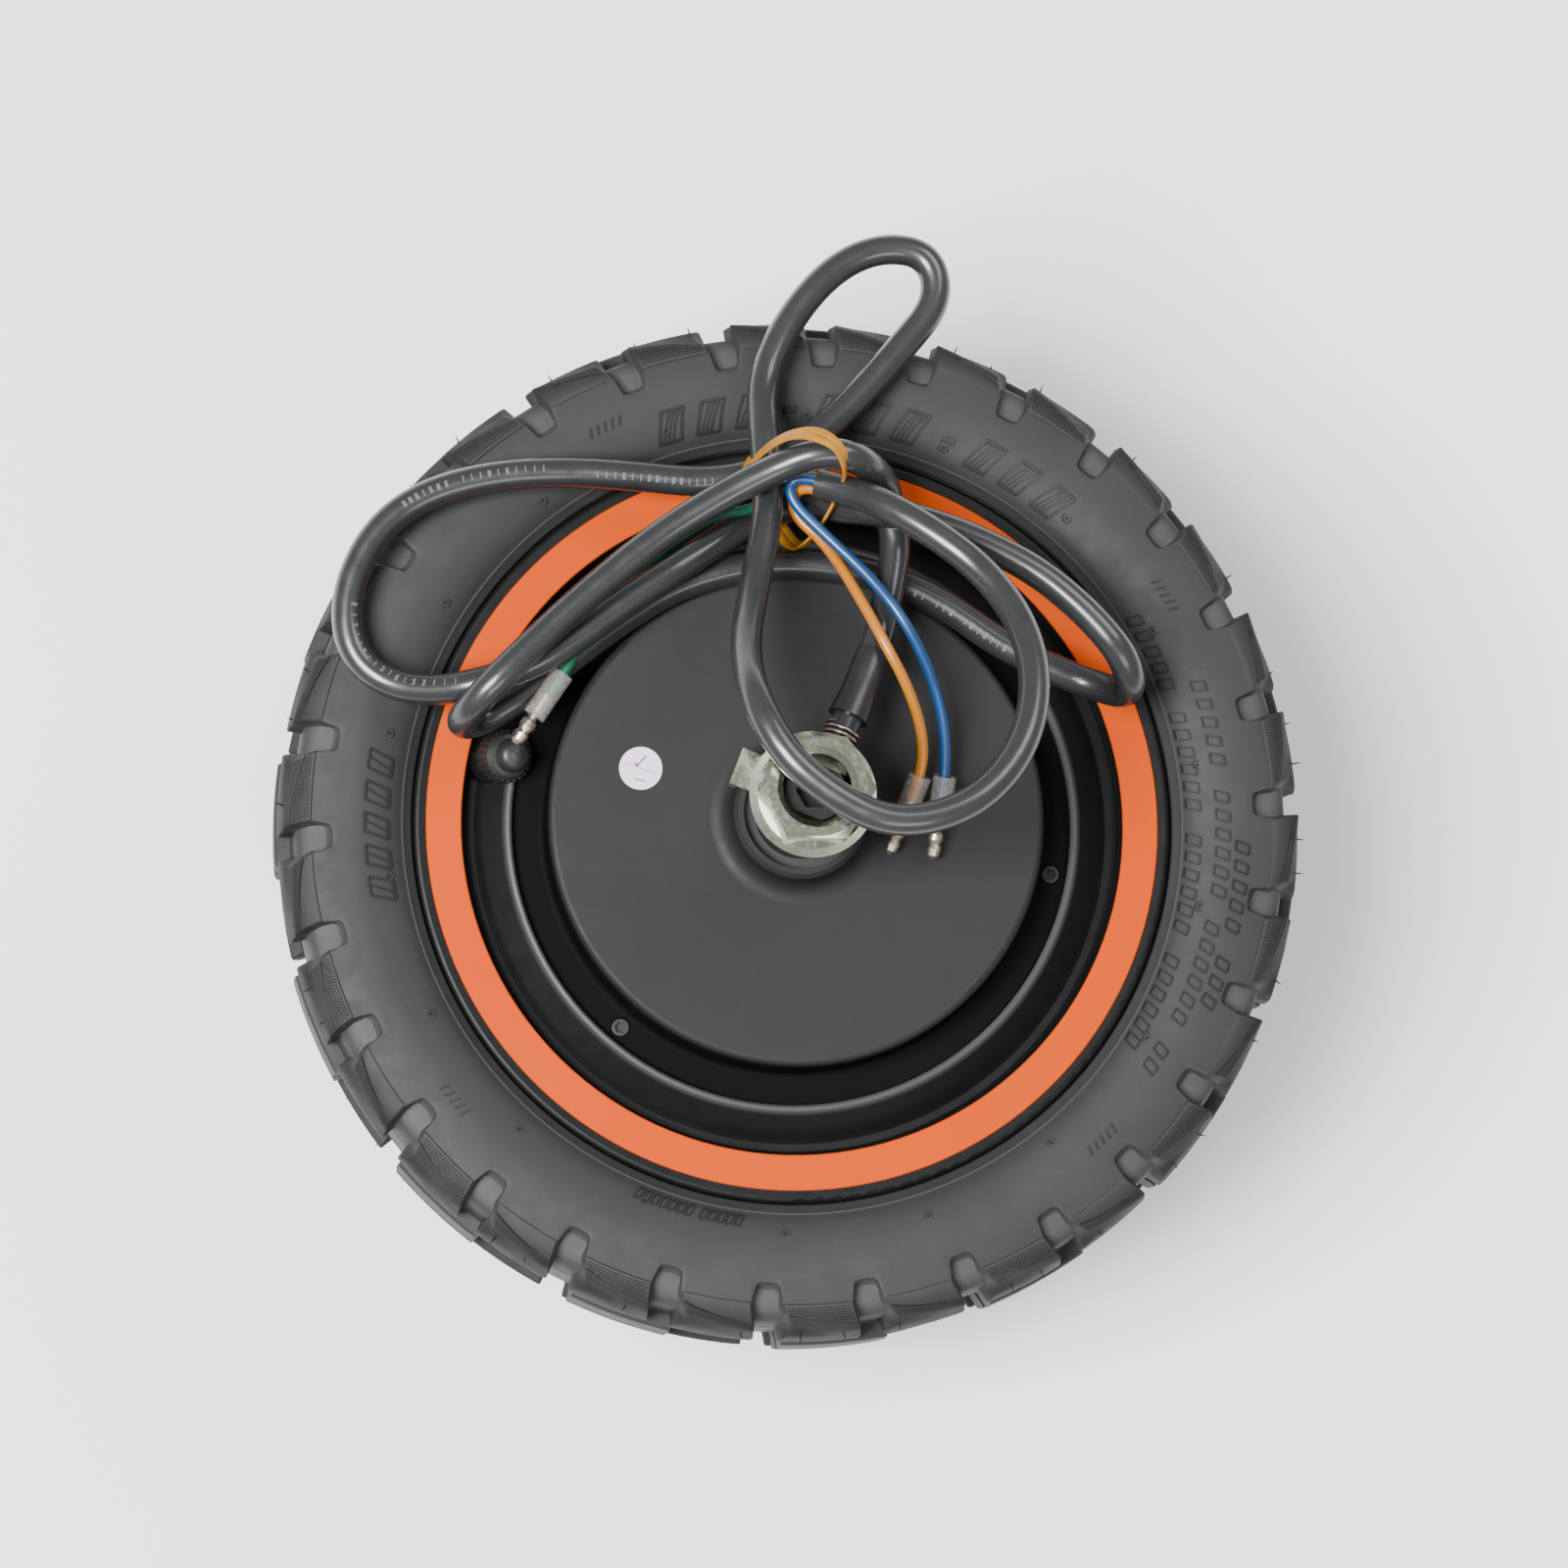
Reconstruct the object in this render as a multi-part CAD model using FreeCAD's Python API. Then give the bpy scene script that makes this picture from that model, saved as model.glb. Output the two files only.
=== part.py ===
# Hub motor wheel for an electric scooter: 10 x 2.75-6.5 off-road tyre, direct-drive motor in the hub,
# fixed hollow axle, and a tied-up lead that leaves the axle above the upper cover.
# Frame: +Z along the axle, origin on the axle at the wheel's middle plane, millimetres.
import FreeCAD
import Part
import math
import os
from FreeCAD import Placement, Rotation, Vector

os.makedirs("parts", exist_ok=True)

X, Y, Z = Vector(1, 0, 0), Vector(0, 1, 0), Vector(0, 0, 1)
ORIGIN = Vector(0, 0, 0)

# ---- driving dimensions ----
TYRE_R = 127.5             # 10 inch tyre over the lugs
TYRE_HALF = 35.0           # 2.75 inch section
BEAD_R = 82.6              # 6.5 inch bead seat
RIM_HALF = 25.0            # inside of the rim flanges
LUGS = 30                  # tread blocks on each shoulder
NOTCH_WIDTH = 6.0

AXLE_CORE_R = 12.5         # under the stator
AXLE_R = 10.0              # bearing journal
THREAD_R = 8.0             # M16 ends
FLATS_HALF = 6.0           # 12 mm across the flats
TAB_ANGLE = 159.0          # the flats run this way, and the washer's tab points along them
SHOULDER_Z = 70.0          # seat for the dropout
WASHER_Z = 78.0
NUT_Z = 80.0
NUT_TOP = 95.0
AXLE_TOP = 88.0            # the cable end of the axle stops inside its nut
CORE_HALF = 26.0
BORE_R = 4.2               # wiring bore

NUT_FLATS = 24.0
FLANGE_R = 15.0

BEARING_HALF_Z = (26.0, 38.0)
BALL_R = 3.12
BALL_PITCH_R = 15.5
BALLS = 9
GROOVE_R = 3.2

COVER_TOP = 39.0
COVER_R = 60.5
BOSS_TOP = 51.0
BOSS_R = 16.3
SEAL_R = 14.0
FLANGE_TOP = 22.0
COVER_FLANGE_R = 68.7
LEDGE_Z = 16.5
GASKET = 0.5
COVER_SCREW_R = 65.2
COVER_SCREW_ANGLES = (-10.0, 110.0, 230.0)

DISC_PCD = 44.0            # six-bolt brake disc
DISC_BOLTS = 6
DISC_HOLE_R = 2.5
DISC_SEAT = 46.0
DISC_SPIGOT_R = 17.45

STATOR_R = 52.0
STACK_HALF = 13.0
SLOTS = 27
YOKE_R = 45.0
CARRIER_R = 40.0
MAGNETS = 30
MAGNET_R = (52.75, 55.95)
FLUX_R = (56.0, 61.5)
FLUX_HALF = 16.0

VALVE_ANGLE = 167.5
VALVE_TILT = 25.0
VALVE_TOP = (69.3, 35.5)   # radius and height of the cap's tip
VALVE_HOLE_R = 3.6

CABLE_R = 3.75
WIRE_R = 1.35
GAP = 0.02                 # between pieces that are pressed together

# ---- the lead's route: out of the axle, up to the tie, and round its loops ----
CABLE = [
    (3.8, 7.6, 61.2), (11.6, 23.6, 59.4), (18.0, 40.4, 56.6), (21.1, 54.3, 52.0), (23.1, 65.0, 50.6),
    (21.7, 73.4, 50.8), (19.6, 80.7, 55.0), (12.4, 83.8, 67.0), (3.2, 84.7, 68.8), (-6.6, 81.4, 65.5),
    (-19.3, 75.0, 63.5), (-35.6, 64.6, 62.0), (-51.4, 51.3, 61.5), (-66.0, 37.4, 61.8),
    # the left fold stands on edge
    (-76.7, 26.4, 62.0), (-82.9, 20.1, 52.0), (-78.7, 21.6, 42.0), (-67.8, 27.6, 42.0),
    # back along the cover's edge
    (-55.9, 37.8, 42.0), (-43.6, 47.5, 42.0), (-29.8, 56.4, 42.0), (-13.1, 61.3, 42.0), (3.5, 62.1, 42.0),
    (21.4, 59.2, 42.0), (36.3, 52.3, 42.0), (49.6, 42.8, 42.0), (61.7, 37.0, 42.2),
    # the right fold
    (72.8, 32.6, 43.0), (80.5, 28.9, 52.0), (77.5, 36.8, 61.5), (67.9, 48.0, 61.5), (56.4, 57.8, 60.5),
    (43.1, 64.7, 60.0), (30.2, 69.4, 59.8), (19.1, 72.1, 60.2), (10.2, 74.0, 52.2), (1.4, 76.5, 44.8),
    (-8.4, 74.5, 42.6), (-18.7, 67.3, 47.0), (-30.3, 58.8, 51.6), (-42.1, 50.7, 52.4),
    (-53.9, 41.7, 53.1), (-65.7, 34.1, 53.2), (-77.5, 29.8, 52.6), (-88.1, 28.6, 47.5),
    # the left loop lies on the tyre
    (-98.2, 30.3, 43.0), (-106.8, 36.1, 42.4), (-110.1, 45.6, 42.4), (-108.7, 57.4, 42.4),
    (-102.3, 69.3, 42.6), (-91.6, 77.6, 42.8), (-75.0, 82.5, 43.0), (-57.1, 83.9, 43.0),
    (-39.4, 82.9, 43.5), (-23.9, 81.4, 44.0), (-9.7, 83.7, 44.0),
    # the top loop reaches past the tread
    (1.5, 91.1, 44.0), (12.5, 101.3, 43.0), (24.9, 115.8, 42.0), (34.9, 128.1, 42.0), (32.5, 140.0, 42.0),
    (20.2, 141.7, 42.0), (7.8, 135.5, 42.0), (-3.6, 121.2, 42.0), (-9.7, 105.2, 43.5), (-9.2, 91.1, 52.0),
    # down over the nut and back up to the tie
    (-8.6, 79.2, 55.0), (-9.0, 68.5, 59.5), (-13.0, 50.8, 67.5), (-16.5, 34.0, 82.0), (-14.8, 19.3, 98.0),
    (-7.9, 6.2, 100.8), (3.0, -2.8, 100.3), (14.8, -8.6, 100.2), (26.9, -7.8, 99.0), (38.9, -1.9, 97.0),
    (48.4, 9.9, 93.5), (52.5, 25.6, 88.0), (50.1, 41.5, 81.5), (41.4, 55.3, 75.0), (28.8, 65.1, 73.2),
    (18.3, 72.0, 69.2), (10.8, 76.3, 62.2), (3.5, 78.7, 59.0),
]
# phase wires, from the end of the cable's jacket to their bullets
WIRES = {
    "yellow": [(3.2, 77.3, 58.3), (-1.6, 78.9, 56.2), (-2.8, 72.6, 52.4), (5.9, 64.8, 54.0),
               (13.8, 49.7, 60.5), (19.2, 38.5, 64.0), (24.8, 29.0, 61.0), (28.9, 19.6, 54.5),
               (29.7, 10.8, 49.4), (26.8, 3.4, 46.8)],
    "blue": [(2.8, 78.9, 60.5), (-3.0, 80.8, 58.0), (-3.6, 74.9, 57.8), (4.8, 66.6, 58.0),
             (15.0, 56.9, 59.4), (23.0, 46.4, 62.0), (29.4, 35.6, 59.0), (33.9, 24.1, 53.5),
             (35.5, 12.4, 49.4), (34.2, 3.0, 46.8)],
    "green": [(4.1, 79.9, 58.3), (-1.8, 81.8, 55.7), (-4.9, 78.4, 50.3), (-12.0, 73.9, 48.8),
              (-20.6, 72.6, 50.4), (-29.5, 66.9, 49.7), (-39.0, 58.2, 48.1), (-48.0, 48.4, 47.5),
              (-54.4, 39.0, 47.5), (-57.6, 33.2, 48.2), (-61.2, 27.8, 47.9)],
}
BULLET_TIPS = {"yellow": (21.5, -10.1, 42.1), "blue": (32.4, -10.3, 42.6), "green": (-69.6, 15.2, 47.2)}
BAND = [
    (-11.4, 85.4, 56.5), (-7.4, 88.4, 65.4), (-0.6, 88.6, 72.6), (5.8, 86.4, 74.0), (9.2, 81.4, 71.4),
    (9.2, 79.4, 62.0), (7.2, 73.4, 55.6), (2.2, 66.4, 49.6), (-0.8, 65.4, 40.4), (-6.0, 75.0, 38.0),
    (-11.4, 85.8, 39.4), (-14.2, 85.6, 48.0),
]
BAND_R = 0.9


# ---- helpers ----
def save(name, *shapes):
    shape = shapes[0] if len(shapes) == 1 else Part.makeCompound(list(shapes))
    shape.exportStep("parts/%s.step" % name)
    print("%-24s solids %2d  valid %s  volume %.0f" % (name, len(shape.Solids), shape.isValid(), shape.Volume))


def turned(shape, degrees, axis=Z, centre=ORIGIN):
    copy = shape.copy()
    copy.rotate(centre, axis, degrees)
    return copy


def flipped(shape):
    """The same piece on the other side of the wheel."""
    return turned(shape, 180, X)


def around(shape, count, start=0.0):
    return [turned(shape, start + i * 360.0 / count) for i in range(count)]


def tube(r_in, r_out, z0, z1):
    outer = Part.makeCylinder(r_out, z1 - z0, Vector(0, 0, z0))
    return outer.cut(Part.makeCylinder(r_in, z1 - z0, Vector(0, 0, z0)))


def box(x0, x1, y0, y1, z0, z1):
    return Part.makeBox(x1 - x0, y1 - y0, z1 - z0, Vector(x0, y0, z0))


def spun(outline, degrees=360.0):
    """Turn an outline of (radius, z) points about Z. A three-number step is (radius, z, bulge radius point)."""
    edges, last = [], None
    for step in outline + [outline[0]]:
        here = Vector(step[0], 0, step[1])
        if last is not None and here.distanceToPoint(last) > 1e-7:
            if len(step) == 4 and step is not outline[0]:
                edges.append(Part.Arc(last, Vector(step[2], 0, step[3]), here).toShape())
            else:
                edges.append(Part.LineSegment(last, here).toShape())
        last = here
    return Part.Face(Part.Wire(edges)).revolve(ORIGIN, Z, degrees)


def hexagon(flats, z0, z1):
    corner = flats / math.sqrt(3)
    points = [Vector(corner * math.cos(math.radians(60 * i)), corner * math.sin(math.radians(60 * i)), z0)
              for i in range(7)]
    return Part.Face(Part.makePolygon(points)).extrude(Vector(0, 0, z1 - z0))


def bent_path(points, closed=False):
    """Straight runs joined by tangent arcs, each as large as its two runs allow."""
    places = [Vector(*p) for p in points]
    count = len(places)
    corners = range(count) if closed else range(1, count - 1)
    arcs = {}
    for i in corners:
        here, back, ahead = places[i], places[i - 1] - places[i], places[(i + 1) % count] - places[i]
        turn = math.pi - back.getAngle(ahead)
        reach = 0.45 * min(back.Length, ahead.Length)
        radius = reach / math.tan(turn / 2)
        back.normalize()
        ahead.normalize()
        inward = (back + ahead).normalize()
        middle = here + inward * (math.hypot(reach, radius) - radius)
        arcs[i] = (here + back * reach, middle, here + ahead * reach, radius)
    edges = []
    for i in corners:
        start = places[0] if not closed and i == 1 else arcs[i - 1 if i else count - 1][2]
        edges.append(Part.LineSegment(start, arcs[i][0]).toShape())
        edges.append(Part.Arc(*arcs[i][:3]).toShape())
    if not closed:
        edges.append(Part.LineSegment(arcs[count - 2][2], places[-1]).toShape())
    return Part.Wire(edges), [round(arcs[i][3], 1) for i in corners]


def swept(path, radius):
    first = path.Edges[0]
    start = first.valueAt(first.FirstParameter)
    section = Part.Wire(Part.makeCircle(radius, start, first.tangentAt(first.FirstParameter)))
    return path.makePipeShell([section], True, False)


def cord(name, points, radius, closed=False):
    path, radii = bent_path(points, closed)
    if closed:
        half = len(path.Edges) // 4 * 2
        body = swept(Part.Wire(path.Edges[:half]), radius).fuse(swept(Part.Wire(path.Edges[half:]), radius))
    else:
        body = swept(path, radius)
    wanted = math.pi * radius ** 2 * path.Length
    print("%s: length %.1f mm, smallest radius %.1f mm, volume / (section x length) %.4f, radii %s"
          % (name, path.Length, min(radii), body.Volume / wanted, radii))
    return body


def placed_along(shape, start, end):
    """Move a piece modelled up the Z axis so that it runs from start towards end."""
    way = Vector(*end) - Vector(*start)
    copy = shape.copy()
    copy.Placement = Placement(Vector(*start), Rotation(Z, way)).multiply(copy.Placement)
    return copy


def point_between(start, end, distance):
    way = Vector(*end) - Vector(*start)
    return tuple(Vector(*start) + way * (distance / way.Length))


# ---- axle and its hardware ----
def axle_shaft():
    half = [(0, -NUT_TOP + 1), (THREAD_R - 1, -NUT_TOP + 1), (THREAD_R, -NUT_TOP + 2),
            (THREAD_R, -SHOULDER_Z), (AXLE_R, -SHOULDER_Z), (AXLE_R, -CORE_HALF), (AXLE_CORE_R, -CORE_HALF),
            (AXLE_CORE_R, CORE_HALF), (AXLE_R, CORE_HALF), (AXLE_R, SHOULDER_Z), (THREAD_R, SHOULDER_Z),
            (THREAD_R, AXLE_TOP - 1), (THREAD_R - 1, AXLE_TOP), (0, AXLE_TOP)]
    body = spun(half)
    for side in (-1, 1):
        low, high = sorted((side * SHOULDER_Z, side * 100))
        for flat in (box(-20, 20, FLATS_HALF, 20, low, high), box(-20, 20, -20, -FLATS_HALF, low, high)):
            body = body.cut(turned(flat, side * TAB_ANGLE))
    bend, _ = bent_path([(0, 0, 62), (0, 0, 20.5), (0, 33, 20.5)])
    wiring = swept(bend, BORE_R).fuse(Part.makeSphere(BORE_R, Vector(0, 0, 62)))
    exit_way = Vector(*CABLE[0]) - Vector(*CABLE[1])
    start = Vector(*CABLE[0]) + exit_way.normalize() * 8.6
    wiring = wiring.fuse(Part.makeCylinder(BORE_R, 22, start, exit_way * -1))
    socket = hexagon(8, AXLE_TOP - 7, AXLE_TOP + 1)
    return body.cut(wiring).cut(socket).cut(key_block())


def key_block():
    return box(-2, 2, -14.5, -10.7, -8, 8)


def keyed_washer():
    """Flat washer keyed to the axle's flats."""
    hole = Part.makeCylinder(THREAD_R + 0.15, 10, Vector(0, 0, WASHER_Z - 4))
    hole = hole.common(box(-20, 20, -FLATS_HALF - 0.1, FLATS_HALF + 0.1, 60, 100))
    return Part.makeCylinder(13.4, 1.8, Vector(0, 0, WASHER_Z)).cut(hole)


def tab_washer():
    """Keyed washer with one tab bent down into the dropout's slot."""
    arm = box(12, 19.3, -4.5, 4.5, WASHER_Z, WASHER_Z + 1.8)
    lip = box(17.5, 19.3, -4.5, 4.5, WASHER_Z - 3.2, WASHER_Z + 1.8)
    return turned(keyed_washer().fuse(arm).fuse(lip).removeSplitter(), TAB_ANGLE)


def axle_nut():
    """M16 hex nut with a round flange and chamfered corners."""
    height = NUT_TOP - NUT_Z
    corner = NUT_FLATS / math.sqrt(3)
    cap = spun([(0, NUT_Z), (corner, NUT_Z), (corner, NUT_TOP - 1.3), (NUT_FLATS / 2 - 0.4, NUT_TOP), (0, NUT_TOP)])
    body = hexagon(NUT_FLATS, NUT_Z, NUT_TOP).common(cap)
    skirt = spun([(0, NUT_Z - 0.15), (FLANGE_R, NUT_Z - 0.15), (FLANGE_R, NUT_Z + 1.5), (13.2, NUT_Z + 3.6),
                  (0, NUT_Z + 3.6)])
    body = body.fuse(skirt)
    bore = Part.makeCylinder(THREAD_R + GAP, height + 2, Vector(0, 0, NUT_Z - 1))
    mouth = Part.makeCone(THREAD_R, 9.6, 1.7, Vector(0, 0, NUT_TOP - 1.6))
    return body.cut(bore).cut(mouth).removeSplitter()


# ---- ball bearings, 20 x 42 x 12 ----
def bearing_groove():
    middle = sum(BEARING_HALF_Z) / 2
    return Part.makeTorus(BALL_PITCH_R, GROOVE_R, Vector(0, 0, middle))


def bearing_inner_race():
    return tube(AXLE_R + GAP, 13.4, *BEARING_HALF_Z).cut(bearing_groove())


def bearing_outer_race():
    return tube(17.6, 21.0, *BEARING_HALF_Z).cut(bearing_groove())


def bearing_balls(radius):
    middle = sum(BEARING_HALF_Z) / 2
    return around(Part.makeSphere(radius, Vector(BALL_PITCH_R, 0, middle)), BALLS)


def bearing_cage():
    """Crown cage: one closed ring above the balls, with prongs between them."""
    crown = tube(14.2, 16.8, 30.6, 36.4)
    for pocket in bearing_balls(GROOVE_R + 0.06):
        crown = crown.cut(pocket)
    return crown


# ---- stator, fixed to the axle ----
def stator_carrier():
    body = tube(AXLE_CORE_R + GAP, 18, -STACK_HALF, STACK_HALF)
    body = body.fuse(tube(18, 37, -3, 3)).fuse(tube(36, CARRIER_R, -14, 14))
    windows = Part.makeCompound(around(Part.makeCylinder(6.6, 10, Vector(27, 0, -5)), 5, 54))
    return body.removeSplitter().cut(windows).cut(key_block())


def stator_core():
    body = tube(CARRIER_R + GAP, STATOR_R, -STACK_HALF, STACK_HALF)
    outline = [(YOKE_R, 2.7), (50.4, 3.3), (51.0, 1.2), (STATOR_R + 1, 1.2),
               (STATOR_R + 1, -1.2), (51.0, -1.2), (50.4, -3.3), (YOKE_R, -2.7)]
    points = [Vector(r, t, -STACK_HALF - 1) for r, t in outline]
    slot = Part.Face(Part.makePolygon(points + points[:1])).extrude(Vector(0, 0, 2 * STACK_HALF + 2))
    return body.cut(Part.makeCompound(around(slot, SLOTS, 180.0 / SLOTS)))


def stator_windings():
    outer = box(45.3, 50.2, -4.9, 4.9, -17.5, 17.5)
    outer = outer.makeFillet(2.0, [e for e in outer.Edges if abs(e.tangentAt(0).x) > 0.9])
    coil = outer.cut(box(44, 52, -2.68, 2.68, -13.2, 13.2))
    return around(coil, SLOTS)


def hall_sensor_board():
    """Arc of circuit board above the windings."""
    board = tube(35, 50, 18.2, 19.6)
    wedge = spun([(30, 17), (60, 17), (60, 21), (30, 21)], 62)
    return board.common(turned(wedge, 59))


def hall_board_posts():
    return [turned(Part.makeCylinder(1.6, 4.18, Vector(38, 0, 14.01)), a) for a in (68, 112)]


def hall_sensors():
    return [turned(box(50.45, 51.9, -1.9, 1.9, 13.3, 18.15), a) for a in (80, 93.33, 106.67)]


def inner_lead_bundle():
    """The wires inside the axle: in from the cable, down the bore and out to the stator."""
    start = point_between(CABLE[0], CABLE[1], -0.1)
    return cord("inner_lead_bundle", [start, (0.0, 0.0, 62.0), (0.0, 0.0, 20.5), (0.0, 33.0, 20.5)], 2.8)


# ---- covers ----
def cover_outline(top_outline):
    housing = BEARING_HALF_Z[1] + 0.2
    return [(21.02, 25.0), (21.02, housing), (SEAL_R + GAP, housing), (SEAL_R + GAP, BOSS_TOP)] + top_outline + [
        (COVER_R - 1.6, COVER_TOP), (COVER_R, COVER_TOP - 1.6, COVER_R - 0.47, COVER_TOP - 0.47),
        (COVER_R + 0.5, FLANGE_TOP + 1.5), (COVER_R + 2.0, FLANGE_TOP, COVER_R + 0.94, FLANGE_TOP + 0.44),
        (COVER_FLANGE_R, FLANGE_TOP), (COVER_FLANGE_R, LEDGE_Z + GASKET), (57.5, LEDGE_Z + GASKET),
        (57.5, 35.0), (25.0, 35.0), (25.0, 25.0)]


def screw_holes(radius, z0, z1):
    hole = Part.makeCylinder(radius, z1 - z0, Vector(COVER_SCREW_R, 0, z0))
    return Part.makeCompound([turned(hole, a) for a in COVER_SCREW_ANGLES])


def upper_cover():
    """Cover on the cable side: raised plate, filleted boss and a low flange with three screws."""
    boss = [(BOSS_R - 1.0, BOSS_TOP), (BOSS_R, BOSS_TOP - 1.0), (BOSS_R, 44.0),
            (21.3, COVER_TOP, 17.76, 40.46)]
    body = spun(cover_outline(boss))
    return body.cut(screw_holes(1.7, 10, 30)).cut(screw_holes(2.4, 19.5, 30))


def lower_cover():
    """Cover on the brake side, with a six-bolt disc seat and its centring spigot."""
    boss = [(DISC_SPIGOT_R - 0.5, BOSS_TOP), (DISC_SPIGOT_R, BOSS_TOP - 0.5), (DISC_SPIGOT_R, DISC_SEAT),
            (29.0, DISC_SEAT), (30.0, DISC_SEAT - 1.0), (30.0, COVER_TOP)]
    body = spun(cover_outline(boss))
    body = body.cut(screw_holes(1.7, 10, 30)).cut(screw_holes(2.4, 19.5, 30))
    bolt = Part.makeCylinder(DISC_HOLE_R, 7, Vector(DISC_PCD / 2, 0, DISC_SEAT - 6.5))
    return flipped(body.cut(Part.makeCompound(around(bolt, DISC_BOLTS, 30))))


def cover_gasket():
    return tube(62.0, COVER_FLANGE_R, LEDGE_Z, LEDGE_Z + GASKET).cut(screw_holes(1.7, 10, 30))


def cover_screws():
    """Socket head screws, sunk into the cover's flange."""
    head = Part.makeCylinder(2.25, 2.3, Vector(0, 0, 19.6))
    head = head.makeFillet(0.3, [head.Edges[0]])
    shank = Part.makeCylinder(1.6, 13.7, Vector(0, 0, 6.0))
    screw = head.fuse(shank).cut(hexagon(2.5, 20.6, 23))
    screw.translate(Vector(COVER_SCREW_R, 0, 0))
    return [turned(screw, a) for a in COVER_SCREW_ANGLES]


def shaft_seal():
    """Lip seal in the boss, with running clearance on the axle."""
    return spun([(AXLE_R + 0.5, 41), (SEAL_R, 41), (SEAL_R, 47.6), (AXLE_R + 1.2, 47.6), (AXLE_R + 0.08, 46.4),
                 (AXLE_R + 0.08, 45.8), (AXLE_R + 1.6, 43.4), (AXLE_R + 0.5, 42.6)])


# ---- rim and rotor ----
def valve_frame(shape):
    """Move a piece modelled down from the origin along -Z onto the slanted valve axis."""
    radius, height = VALVE_TOP
    lean = Placement(Vector(radius, 0, height), Rotation(Y, -VALVE_TILT))
    copy = shape.copy()
    copy.Placement = Placement(ORIGIN, Rotation(Z, VALVE_ANGLE)).multiply(lean).multiply(copy.Placement)
    return copy


def rim_shell():
    half = [(FLUX_R[1] + GAP, LEDGE_Z), (69.0, LEDGE_Z), (69.0, 24.4), (69.6, RIM_HALF), (70.4, 24.8),
            (77.4, 20.2), (78.2, 19.8), (80.0, 19.8), (80.8, 20.6), (81.2, 27.4), (81.3, 27.9), (90.1, 27.9),
            (90.1, 28.8), (91.4, 28.9), (93.3, 27.2, 92.9, 28.4), (92.4, RIM_HALF), (83.4, RIM_HALF),
            (BEAD_R, 24.2), (BEAD_R, 13.75), (73.5, 9.5)]
    lower = [(p[0], -p[1]) if len(p) == 2 else p for p in reversed(half)]
    arc_end = next(i for i, p in enumerate(lower) if len(p) == 4)
    rounded = lower[arc_end]
    following = lower[arc_end + 1]
    lower[arc_end] = (rounded[0], -rounded[1])
    lower[arc_end + 1] = (following[0], following[1], rounded[2], -rounded[3])
    body = spun(half + lower)
    boss = valve_frame(Part.makeCylinder(6.6, 11.2, Vector(0, 0, -25.2)))
    body = body.fuse(boss.common(tube(70.0, 81.0, 9.0, 30.0)))
    body = body.cut(valve_frame(Part.makeCylinder(VALVE_HOLE_R, 22, Vector(0, 0, -30))))
    body = body.cut(valve_frame(Part.makeCylinder(5.2, 4, Vector(0, 0, -13.97))))
    pocket = valve_frame(Part.makeCylinder(6.9, 12, Vector(0, 0, -11.2)))
    body = body.cut(pocket.common(tube(60.0, 76.0, 15.0, 40.0)))
    threads = screw_holes(1.62, 5.0, 20).fuse(flipped(screw_holes(1.62, 5.0, 20)))
    return body.cut(threads)


def rim_trim_ring():
    """Painted accent ring set into the face of the rim flange."""
    return spun([(81.35, 27.92), (90.05, 27.92), (90.05, 28.45), (89.8, 28.7), (81.6, 28.7), (81.35, 28.45)])


def rotor_magnets():
    pitch = 360.0 / MAGNETS
    span = 0.88 * pitch
    block = spun([(MAGNET_R[0], -15), (MAGNET_R[1], -15), (MAGNET_R[1], 15), (MAGNET_R[0], 15)], span)
    return around(block, MAGNETS, (pitch - span) / 2)


def valve_stem():
    body = Part.makeCylinder(2.5, 25.6, Vector(0, 0, -27.7))
    body = body.fuse(Part.makeCylinder(3.9, 1.2, Vector(0, 0, -28.7)))
    return valve_frame(body.cut(Part.makeCylinder(1.5, 40, Vector(0, 0, -34))))


def valve_core():
    body = Part.makeCylinder(1.42, 14, Vector(0, 0, -17.6))
    return valve_frame(body.fuse(Part.makeCylinder(0.6, 1.2, Vector(0, 0, -3.6))))


def valve_grommet():
    """Rubber bush between the stem and the rim."""
    body = Part.makeCylinder(VALVE_HOLE_R - GAP, 11.5, Vector(0, 0, -25.6))
    body = body.fuse(Part.makeCylinder(4.1, 1.9, Vector(0, 0, -27.4)))
    return valve_frame(body.cut(Part.makeCylinder(2.5 + GAP, 40, Vector(0, 0, -34))))


def valve_nut():
    body = hexagon(8, -13.95, -11.2)
    return valve_frame(body.cut(Part.makeCylinder(2.5 + GAP, 40, Vector(0, 0, -34))))


def valve_cap():
    """Domed plastic cap with a ribbed skirt."""
    dome = spun([(0, -10.6), (5.9, -10.6), (5.9, -5.6), (5.2, -4.6), (4.2, -4.3), (3.9, -3.0),
                 (2.6, -0.7, 3.6, -1.5), (0.8, 0), (0, 0)])
    body = dome.fuse(Part.makeCompound(around(box(5.5, 6.4, -0.45, 0.45, -10.2, -5.9), 24)))
    return valve_frame(body.cut(Part.makeCylinder(2.5 + 0.1, 9.2, Vector(0, 0, -10.7))))


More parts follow.
